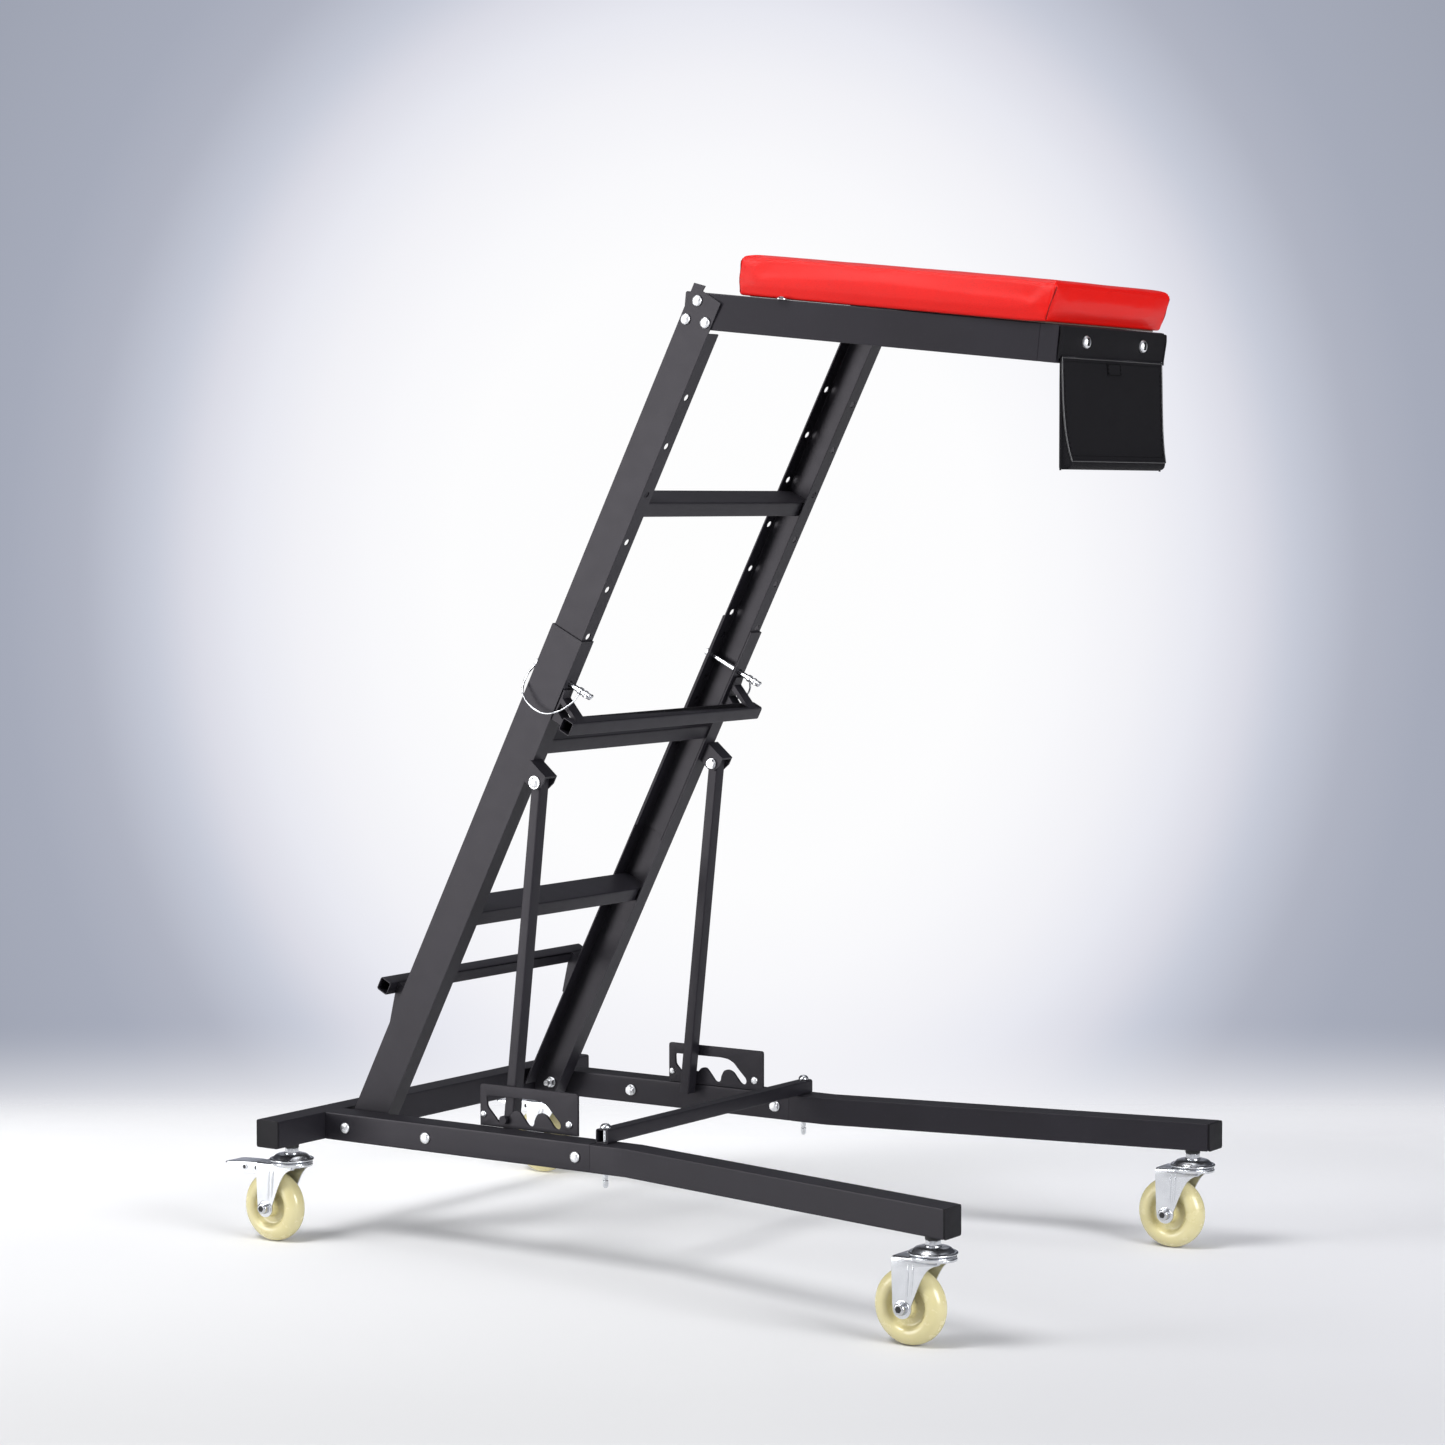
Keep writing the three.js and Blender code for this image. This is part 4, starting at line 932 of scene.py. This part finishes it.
def filled(obj, rest):
    """The points of the cover once cloth under pressure has settled."""
    inverse = DECK.inverted()
    held = obj.vertex_groups.new(name="held")
    held.add([i for i, p in enumerate(rest) if (inverse @ p).z < PAD_FOOT + 1], 1.0, "REPLACE")
    settings = obj.modifiers.new("cover", "CLOTH").settings
    for key, value in (
        ("quality", 6),
        ("mass", 0.3),
        ("tension_stiffness", 40),
        ("compression_stiffness", 40),
        ("shear_stiffness", 20),
        ("bending_stiffness", 10),
        ("use_pressure", True),
        ("uniform_pressure_force", 3),
        ("vertex_group_mass", "held"),
    ):
        setattr(settings, key, value)
    settings.effector_weights.gravity = 0
    for number in range(1, 21):
        scene.frame_set(number)
    graph = bpy.context.evaluated_depsgraph_get()
    moved = [v.co.copy() for v in obj.evaluated_get(graph).data.vertices]
    obj.modifiers.clear()
    obj.vertex_groups.clear()
    scene.frame_set(1)
    return moved


def swell(obj, limit):
    """Fills the cover, each point moving no further than the limit in millimetres."""
    rest = [v.co.copy() for v in obj.data.vertices]
    for vertex, start, end in zip(obj.data.vertices, rest, filled(obj, rest)):
        shift = end - start
        if shift.length > limit * MM:
            shift *= limit * MM / shift.length
        vertex.co = start + shift
    obj.data.update()


def seam_bow(z):
    """A corner seam runs in a shallow S."""
    return 0.9 * math.sin((z - PAD_FOOT) / PAD_THICK * 2 * math.pi - 0.4)


def corner_push(p):
    """The groove of the nearest corner seam, and the puckers on either side of it."""
    push = Vector((0, 0, 0))
    fade = share(p.z, PAD_TOP - 2, PAD_TOP - 11) * share(p.z, 2, 7)
    for cx, cy, sx, sy in PAD_CORNERS:
        along = (cx - pad_lean(cx, p.z) - p.x) * sx
        across = (cy - p.y) * sy
        if along > 40 or across > 40:
            continue
        gap = (along - across) / math.sqrt(2) + seam_bow(p.z)
        depth = -1.4 * math.exp(-(gap / 1.5) ** 2)
        away = abs(gap) - 2
        if away > 0:
            wave = math.sin(p.z * 0.5 + (1.2 if gap > 0 else 0.0))
            depth += 0.3 * math.exp(-((away - 3.5) / 4.5) ** 2) * wave
            depth += 0.3 * math.exp(-((away - 2.5) / 2.2) ** 2)
        push += Vector((sx, sy, 0)).normalized() * (depth * fade)
    return push


def edge_push(p):
    """The welt line round the top, and the pull-in along the foot."""
    push = Vector((0, 0, 0))
    reach_x = min(PAD_END - pad_lean(PAD_END, p.z) - p.x, p.x - PAD_START)
    reach_y = pad_half(p.x) - abs(p.y)
    edge = min(reach_x, reach_y)
    shoulder = PAD_TOP - PAD_SHOULDER
    if edge < PAD_EDGE + 6 and p.z > shoulder:
        out_x, out_y = math.copysign(1, p.x - PAD_MIDDLE), math.copysign(1, p.y)
        outward = Vector((out_x, 0, 0)) if reach_x < reach_y else Vector((0, out_y, 0))
        angle = math.atan2((p.z - shoulder) / PAD_SHOULDER, (PAD_EDGE - edge) / PAD_EDGE)
        off = (angle - math.radians(66)) * PAD_EDGE
        normal = (outward * math.cos(angle) + Vector((0, 0, math.sin(angle)))).normalized()
        push -= normal * (0.8 * math.exp(-(off / 1.2) ** 2))
    if p.z < 12 and edge < 9:
        push += Vector((PAD_MIDDLE - p.x, -p.y, 0)).normalized() * (1.6 * (1 - p.z / 12) ** 2)
    return push


def seam_work(obj):
    """Sews the filled cover, and leaves its top and sides a little uneven."""
    inverse = DECK.inverted()
    turn = DECK.to_3x3()
    for vertex in obj.data.vertices:
        p = inverse @ vertex.co
        push = corner_push(p) + edge_push(p)
        if p.z > PAD_FOOT + 12:
            push += Vector((0, 0, 0.35)) * noise.noise(p * 0.02)
        vertex.co += turn @ push
    obj.data.update()


def corner_cords(piece, cover):
    """The thread that closes each corner seam, laid in the groove where it is; its darker red is painted
    shade for the groove.
    """
    tree = BVHTree.FromObject(cover, bpy.context.evaluated_depsgraph_get())
    inverse = DECK.inverted()
    turn = DECK.to_3x3()
    for cx, cy, sx, sy in PAD_CORNERS:
        path = []
        for k in range(17):
            z = 5 + (PAD_TOP - 13) * k / 16
            shift = seam_bow(z) / math.sqrt(2)
            start = Vector((cx + sx * (20 - shift) - pad_lean(cx, z), cy + sy * (20 + shift), z))
            hit = tree.ray_cast(DECK @ start, (turn @ Vector((-sx, -sy, 0))).normalized(), 0.08)[0]
            if hit:
                path.append(inverse @ hit)
        piece.swept(path, 0.75, 8)


def make_pad():
    obj = pad_cover()
    swell(obj, 2.2)
    finer = obj.modifiers.new("finer", "SUBSURF")
    finer.levels = finer.render_levels = 1
    applied(obj)
    seam_work(obj)
    obj.data.shade_smooth()
    cords = Build(DECK)
    cords.index = 1
    corner_cords(cords, obj)
    cords.bm.from_mesh(obj.data)
    obj.data.clear_geometry()
    cords.bm.to_mesh(obj.data)
    cords.bm.free()
    obj.data.shade_smooth()
    settle(obj, "upper_ladder", "red_vinyl", "pad")


def make_board():
    """The lined board under the pad, a little short of the front so that only its edge shows."""
    piece = Build(DECK)
    start, end = PAD_START + 12, PAD_END - 17
    rear, front = pad_half(start) - 12, pad_half(end) - 13
    outline = rounded([(start, -rear), (end, -front), (end, front), (start, rear)], 6, 4, closed=True)
    piece.prism(outline, 0.3, 6.2, "Z", 0.5)
    settle(piece.mesh("deck_board_look", [BOARD]), "upper_ladder", "board", "deck_board")


make_pad()
make_board()


# ---- tool pouch, measured from the middle of the deck's front edge ----------
FRONT_TOP = DECK @ Vector((PAD_END, 0, 0))
POUCH = Matrix.Translation(FRONT_TOP) @ Matrix.Scale(MM, 4)
PANEL_HALF = 145
PANEL_THICK = 2.2
POCKET_HALF = 138
POUCH_TOP = -2
POUCH_FOOT = POUCH_TOP - 182
MOUTH = POUCH_FOOT + 142
BEAM_DEPTH = 49
HANG = 1.3 - BEAM_DEPTH * math.sin(DROOP)  # where the cloth leaves the sloping beam to hang plumb
POCKET_ROOT = HANG + 1.8
AROUND = 60
WALL = 5
FRONT_PANEL = range(WALL, AROUND - WALL + 1)
SEAM_ROW = 20


def moved_by(points, x, y, z):
    return [Vector(p) + Vector((x, y, z)) for p in points]


def stitches(piece, a, b, radius=0.38):
    """A run of short sewn threads from a to b, standing a little forward of the cloth."""
    pitch, length = 4.4, 2.9
    run = b - a
    along = run.normalized()
    count = max(1, int(run.length / pitch))
    for k in range(count):
        middle = a + run * ((k + 0.5) / count)
        ends = [middle + along * (length * far) + Vector((out, 0, 0))
                for far, out in ((-0.5, -0.25), (-0.3, 0.2), (0.3, 0.2), (0.5, -0.25))]
        piece.swept(ends, [radius * 0.6, radius, radius, radius * 0.6], 5)


def hanging_panel(piece):
    """Down the beam's face, then plumb behind the pocket, as one cloth with thickness."""
    rings = []
    for x, z in ((3.0, POUCH_TOP), (3.1, POUCH_TOP - 8), (1.4, POUCH_TOP - 20), (-0.6, POUCH_TOP - 34),
                 (HANG + 2.6, MOUTH), (HANG + 2.4, MOUTH - 30), (HANG + 2.2, POUCH_FOOT + 60),
                 (HANG + 2.2, POUCH_FOOT + 2)):
        half = PANEL_HALF if z > MOUTH else POCKET_HALF
        line = []
        for k in range(25):
            y = half * (k / 12 - 1)
            line.append((y, 0.5 * math.sin(y * 0.045 + z * 0.03) if z < POUCH_TOP - 30 else 0))
        front = [(x + sway, y, z) for y, sway in line]
        rings.append(front + [(x - PANEL_THICK + sway / 2, y, z) for y, sway in reversed(line)])
    piece.rings(rings)


def pocket_rows():
    """Rows of points across the pocket's cloth, outside and inside, from its mouth down to its foot.

    The cloth runs from the near side round the front to the far side. It is thin at the mouth and deepest at
    the foot, where the front stops at a seam and the foot rolls under to the back.
    """
    profile = []
    for k in range(SEAM_ROW + 1):
        t = k / SEAM_ROW
        z = MOUTH + 0.6 + (POUCH_FOOT + 10.4 - MOUTH) * t
        profile.append((1.8 + 3.2 * t + 7.6 * t ** 4, z, 1.2 * t ** 3))
    rolled = ((12.6, 8, 1.2), (11.6, 4.2, 1.4), (9.4, 1.6, 2.2), (6.0, 0.4, 3.4), (2.2, 0, 5.0))
    profile += [(depth, POUCH_FOOT + rise, tuck) for depth, rise, tuck in rolled]
    outer_rows, inner_rows = [], []
    for row, (depth, z, tuck) in enumerate(profile):
        t = min(1.0, row / SEAM_ROW)
        half = POCKET_HALF - tuck
        narrowing = 6.5 * t ** 3
        belly = 0.4 + 2.4 * math.sin(math.pi * min(1.0, t * 0.96)) ** 1.2
        outer, inner = [], []
        for k in range(AROUND + 1):
            edge = min(k, AROUND - k)
            if edge < WALL:
                f = edge / WALL
                y = (half - narrowing * f) * (-1 if k < WALL else 1)
                x = inside = POCKET_ROOT + depth * f
            else:
                f = (k - WALL) / (AROUND - 2 * WALL)
                y = (2 * f - 1) * (half - narrowing)
                waver = 0.6 * noise.noise(Vector((y * 0.025, z * 0.02, 3.1))) * min(1.0, f * 8, (1 - f) * 8)
                x = POCKET_ROOT + depth + math.sin(math.pi * f) ** 0.6 * belly + waver
                inside = max(POCKET_ROOT + 0.2, x - 1.4)
            outer.append(Vector((x, y, z)))
            inner.append(Vector((inside, y * (1 - 1.4 / half), z)))
        outer_rows.append(outer)
        inner_rows.append(inner)
    return outer_rows, inner_rows


def pouch_edges(piece, rows):
    """Piping along the mouth, both front edges and the foot seam, and corded cloth down the sides."""
    near, far = FRONT_PANEL[0], FRONT_PANEL[-1]
    piece.index = 1
    piece.swept(moved_by(rows[0][near:far + 1], -0.4, 0, 0.5), 1.5)
    for k in (near, far):
        piece.swept(moved_by([row[k] for row in rows[:SEAM_ROW + 1]], 0.2, 0, 0), 1.3)
    piece.swept(moved_by(rows[SEAM_ROW][near:far + 1], 0.1, 0, 0), 1.3)
    piece.index = 0
    for sign in SIDES.values():
        side = sign * (POCKET_HALF + 0.2)
        piece.swept([(HANG + 2.2, side, MOUTH - 1 + (POUCH_FOOT - MOUTH) * k / 12) for k in range(13)], 1.4)
        side = sign * (PANEL_HALF - 0.6)
        rises = [POUCH_TOP - 1 - k * (POUCH_TOP - MOUTH) / 10 for k in range(11)]
        back = HANG - 0.4
        piece.swept([(3.0 + back * share(z, POUCH_TOP - 10, POUCH_TOP - 36), side, z) for z in rises], 1.4)


def pouch_patch(piece, rows):
    """A sewn patch below the mouth that holds the pocket's loop."""
    half, low, high = 18, MOUTH - 20, MOUTH - 3
    cloth = [p for row in rows[:8] for p in row[FRONT_PANEL[0]:FRONT_PANEL[-1] + 1]]

    def on_cloth(y, z, lift):
        nearest = min(cloth, key=lambda p: (p.y - y) ** 2 + (p.z - z) ** 2)
        return Vector((nearest.x + lift, y, z))

    piece.rings([
        [on_cloth(half * u, z, lift) for z, lift in ((low, -0.5), (low, 1.1), (high, 1.1), (high, -0.5))]
        for u in (k / 4 - 1 for k in range(9))
    ])
    piece.index = 2
    inset = half - 1.6
    corners = [(-inset, low + 1.6), (inset, low + 1.6), (inset, high - 1.2), (-inset, high - 1.2)]
    for a, b in zip(corners, corners[1:] + corners[:1]):
        stitches(piece, on_cloth(*a, 1.35), on_cloth(*b, 1.35), radius=0.55)


def pouch_seams(piece, rows):
    """Stitching under the mouth, above the foot seam and down both edges of the front."""
    above_foot = SEAM_ROW - 1
    for k in FRONT_PANEL[1:-2]:
        stitches(piece, *moved_by(rows[1][k:k + 2], 0.2, 0, 2))
        stitches(piece, *moved_by(rows[above_foot][k:k + 2], 0.2, 0, 0))
    for k in (FRONT_PANEL[1], FRONT_PANEL[-2]):
        for i in range(2, above_foot):
            stitches(piece, *moved_by((rows[i][k], rows[i + 1][k]), 0.3, 0, 0))


def make_pouch():
    piece = Build(POUCH)
    hanging_panel(piece)
    outer_rows, inner_rows = pocket_rows()
    piece.rings([outer + inner[::-1] for outer, inner in zip(outer_rows, inner_rows)])
    pouch_edges(piece, outer_rows)
    pouch_patch(piece, outer_rows)
    pouch_seams(piece, outer_rows)
    settle(piece.mesh("pouch_look", [CLOTH, PIPING, THREAD], 50), "upper_ladder", "black_cloth", "tool_pouch")


def pouch_screws():
    """Two slotted dome screws that hold the pouch to the front beam."""
    piece = Build(POUCH)
    x, z = 3.2 - 16 * math.sin(DROOP), -20
    slot = rounded([(-4.2, -5.2), (-1.2, -5.2), (-1.2, 5.2), (-4.2, 5.2)], 1.2, closed=True)
    for y in (-78.5, 78.5):
        piece.index = 0
        piece.turned([(0, -0.4), (8.6, -0.4)] + dome(8.6, 0.4, 6.6, 0.85), (x, y, z), "X", 40)
        # The slot is a dark bar of painted shade, standing a little proud of the dome.
        piece.index = 1
        piece.prism([(y + u, z + v) for u, v in slot], x + 3.0, x + 7.1, "X")
    settle(piece.mesh("pouch_screws", [HEADS, SHADOW], 38), "upper_ladder", "steel_pin")


make_pouch()
pouch_screws()


# ---- small pieces of the deck ----------------------------------------------
def deck_corner(side, sign):
    """The bent flange that closes the front beam's open end against the deck rail."""
    piece = Build(DECK)
    outline = [(493.9, 149.7), (518.6, 146.2), (518.6, 144.0), (493.9, 144.0)]
    piece.prism([(x, sign * y) for x, y in outline], -48.6, -0.4, "Z", 0.4)
    settle(piece.mesh(f"deck_corner_{side}", [BLACK]), "upper_ladder", "black_steel")


def rail_washer():
    """A washer and bolt end on the near deck rail, beside the pad."""
    piece = Build(DECK)
    piece.disc((135, -207, 0.2), "Z", 8, 1.6, 32)
    piece.hexagon((135, -207, 1.6), "Z", 9, 2.4)
    settle(piece.mesh("deck_rail_washer", [STEEL], 38), "upper_ladder", "steel_pin")


for side, sign in SIDES.items():
    deck_corner(side, sign)
rail_washer()


# ---- camera, floor, backdrop and light --------------------------------------
PITCH = math.radians(90 - 3.5354)
YAW = math.radians(34.0235)
VIEW = Matrix.Rotation(YAW, 3, "Z") @ Matrix.Rotation(PITCH, 3, "X")


def make_camera():
    data = bpy.data.cameras.new("camera")
    data.lens = 89.58
    data.sensor_width = 36
    data.clip_start = 0.05
    data.clip_end = 100
    camera = bpy.data.objects.new("camera", data)
    camera.location = (2.8460, -4.1967, 1.0606)
    camera.rotation_euler = (PITCH, 0, YAW)
    scene.collection.objects.link(camera)
    scene.camera = camera


def make_floor():
    """A pale round floor that keeps the object's shadow and fades out into the backdrop; its tone carries
    painted light and shade, darker towards the front and the right, brighter and faintly glowing behind.
    """
    piece = Build(Matrix.Identity(4))
    sides = 96
    level = -0.0004
    radii = (0.02, 0.4, 0.8, 1.2, 1.6, 2.0, 2.5, 3.0, 3.6)
    rings = [[(x, y, level) for x, y in arc((0, 0), (r, r), 0, 360 - 360 / sides, sides - 1)] for r in radii]
    piece.rings(rings, caps=False)
    piece.strips(rings[0])
    n = Surface("studio_floor")
    n.tree.nodes.remove(n.shader)
    away = n.add("VectorMath", {0: n.place}, operation="LENGTH").outputs["Value"]
    across = n.dot(n.place, (math.cos(YAW), math.sin(YAW), 0))
    deep = n.dot(n.place, (-math.sin(YAW), math.cos(YAW), 0))
    # Painted light and shade: the tone runs from darker at the front to brighter behind, standing in for how
    # the lamps fall.
    start, length = -1.2, 3.0
    stops = ((-1.2, 0.61), (-1.0, 0.62), (-0.85, 0.645), (-0.61, 0.70), (-0.33, 0.765), (-0.02, 0.82),
             (0.35, 0.93), (0.8, 0.95))
    tone = n.ramp(n.span(deep, start, start + length, 0.0, 1.0),
                  [((at - start) / length, (v, v, v * 1.01)) for at, v in stops])
    # Painted shade: the floor darker towards the right.
    painted_shade_right = n.ramp(n.span(across, -1.0, 1.0, 0.0, 1.0),
                    [(0.5, (1, 1, 1)), (0.7, (0.95, 0.95, 0.96)), (0.9, (0.92, 0.92, 0.94))])
    paint = n.add("BsdfDiffuse", {"Color": n.mix(1.0, tone, painted_shade_right, "MULTIPLY")})
    # Painted light: a faint glow on the floor behind the object.
    painted_floor_glow = n.add("Emission", {"Color": (1, 1, 1, 1), "Strength": n.fade(deep, 0.1, 0.6, 0.0, 0.1)})
    lit = n.add("AddShader", {0: paint.outputs[0], 1: painted_floor_glow.outputs[0]})
    gone = n.math("MAXIMUM", n.fade(away, 1.25, 2.6), n.fade(deep, 0.8, 1.4))
    both = n.add("MixShader", {0: gone, 1: lit.outputs[0], 2: n.add("BsdfTransparent").outputs[0]})
    n.fill(n.output, {0: both.outputs[0]})
    piece.mesh("studio_floor", [n.material])


def make_world():
    """A painted pool of white light on a lavender-grey wall, painted darker towards its edges, and a
    floor-white below. Lamps do most of the lighting.
    """
    world = bpy.data.worlds.new("studio")
    scene.world = world
    world.use_nodes = True
    n = Nodes(world.node_tree)
    look = n.add("TexCoord").outputs["Generated"]
    right, up, ahead = (n.dot(look, tuple(side)) for side in (VIEW.col[0], VIEW.col[1], -VIEW.col[2]))

    # u and v are how far a direction lies from the middle of the painted pool of light, as tangents in the
    # view's own frame.
    depth = n.math("MAXIMUM", ahead, 0.25)
    u = n.math("DIVIDE", right, depth)
    v = n.math("MULTIPLY", n.math("SUBTRACT", n.math("DIVIDE", up, depth), 0.0417), 0.85)
    reach = n.math("SQRT", n.math("ADD", n.math("MULTIPLY", u, u), n.math("MULTIPLY", v, v)))
    edge = 0.6953
    stops = ((0, 254, 254, 254), (0.1088, 253, 253, 254), (0.14, 249, 249, 252), (0.1688, 242, 242, 247),
             (0.192, 232, 233, 241), (0.2112, 219, 220, 230), (0.2288, 199, 203, 216), (0.256, 176, 180, 194),
             (0.2856, 166, 171, 186), (0.42, 150, 155, 168), (0.6, 66, 68, 76), (0.96, 44, 45, 50))
    wall = n.ramp(n.math("DIVIDE", reach, edge), [(at, srgb(*colour)) for at, *colour in stops])
    # Painted shade: the wall darker above the pool of light and at its sides, then painted lighter again
    # higher up.
    wall = n.mix(n.fade(v, 0.139, 0.2114), wall, srgb(80, 82, 88))
    wall = n.mix(n.fade(v, 0.3059, 0.4728), wall, srgb(205, 207, 214))
    wall = n.mix(n.fade(n.math("ABSOLUTE", u), 0.2114, 0.3198), wall, srgb(62, 63, 69))
    wall = n.mix(n.fade(ahead, 0.25, -0.25), wall, srgb(150, 151, 156))
    height = n.add("SeparateXYZ", {0: look}).outputs[2]
    low = n.fade(height, -math.sin(math.radians(10.4)), -math.sin(math.radians(8.1)), 1.0, 0.0)
    seen = n.mix(low, wall, srgb(247, 247, 250))
    path = n.add("LightPath").outputs
    mirrored = n.math("MAXIMUM", path["Is Glossy Ray"], path["Is Transmission Ray"])
    shown = n.add("Background", {"Color": seen, "Strength": 1.0})
    soft = n.add("Background", {"Color": (0.93, 0.95, 1.0, 1), "Strength": 0.24})
    direct = n.math("MAXIMUM", path["Is Camera Ray"], mirrored)
    both = n.add("MixShader", {0: direct, 1: soft.outputs[0], 2: shown.outputs[0]})
    n.add("OutputWorld", {0: both.outputs[0]})


def lamp(name, at, aim, size, power, colour=(1, 1, 1)):
    """A rectangular lamp of a width and a height, aimed at a point."""
    data = bpy.data.lights.new(name, "AREA")
    data.shape = "RECTANGLE"
    data.size, data.size_y = size
    data.energy = power
    data.color = colour
    obj = bpy.data.objects.new(name, data)
    obj.location = at
    obj.rotation_euler = (Vector(aim) - Vector(at)).to_track_quat("-Z", "Y").to_euler()
    scene.collection.objects.link(obj)


make_camera()
make_floor()
make_world()
lamp("softbox_left", (-3.3, -4.2, 1.4), (0.0, 0.0, 0.7), (2.4, 3.6), 188)
lamp("key", (-0.6, -2.9, 4.3), (0.1, 0.0, 0.2), (1.7, 1.7), 130)
lamp("overhead", (0.0, 0.4, 4.2), (0.1, 0.0, 0.0), (2.6, 2.6), 26)
lamp("fill_right", (4.7, -1.2, 1.9), (0.0, 0.0, 0.7), (2.4, 2.4), 215, (0.97, 0.98, 1.0))

scene.view_settings.view_transform = "Standard"
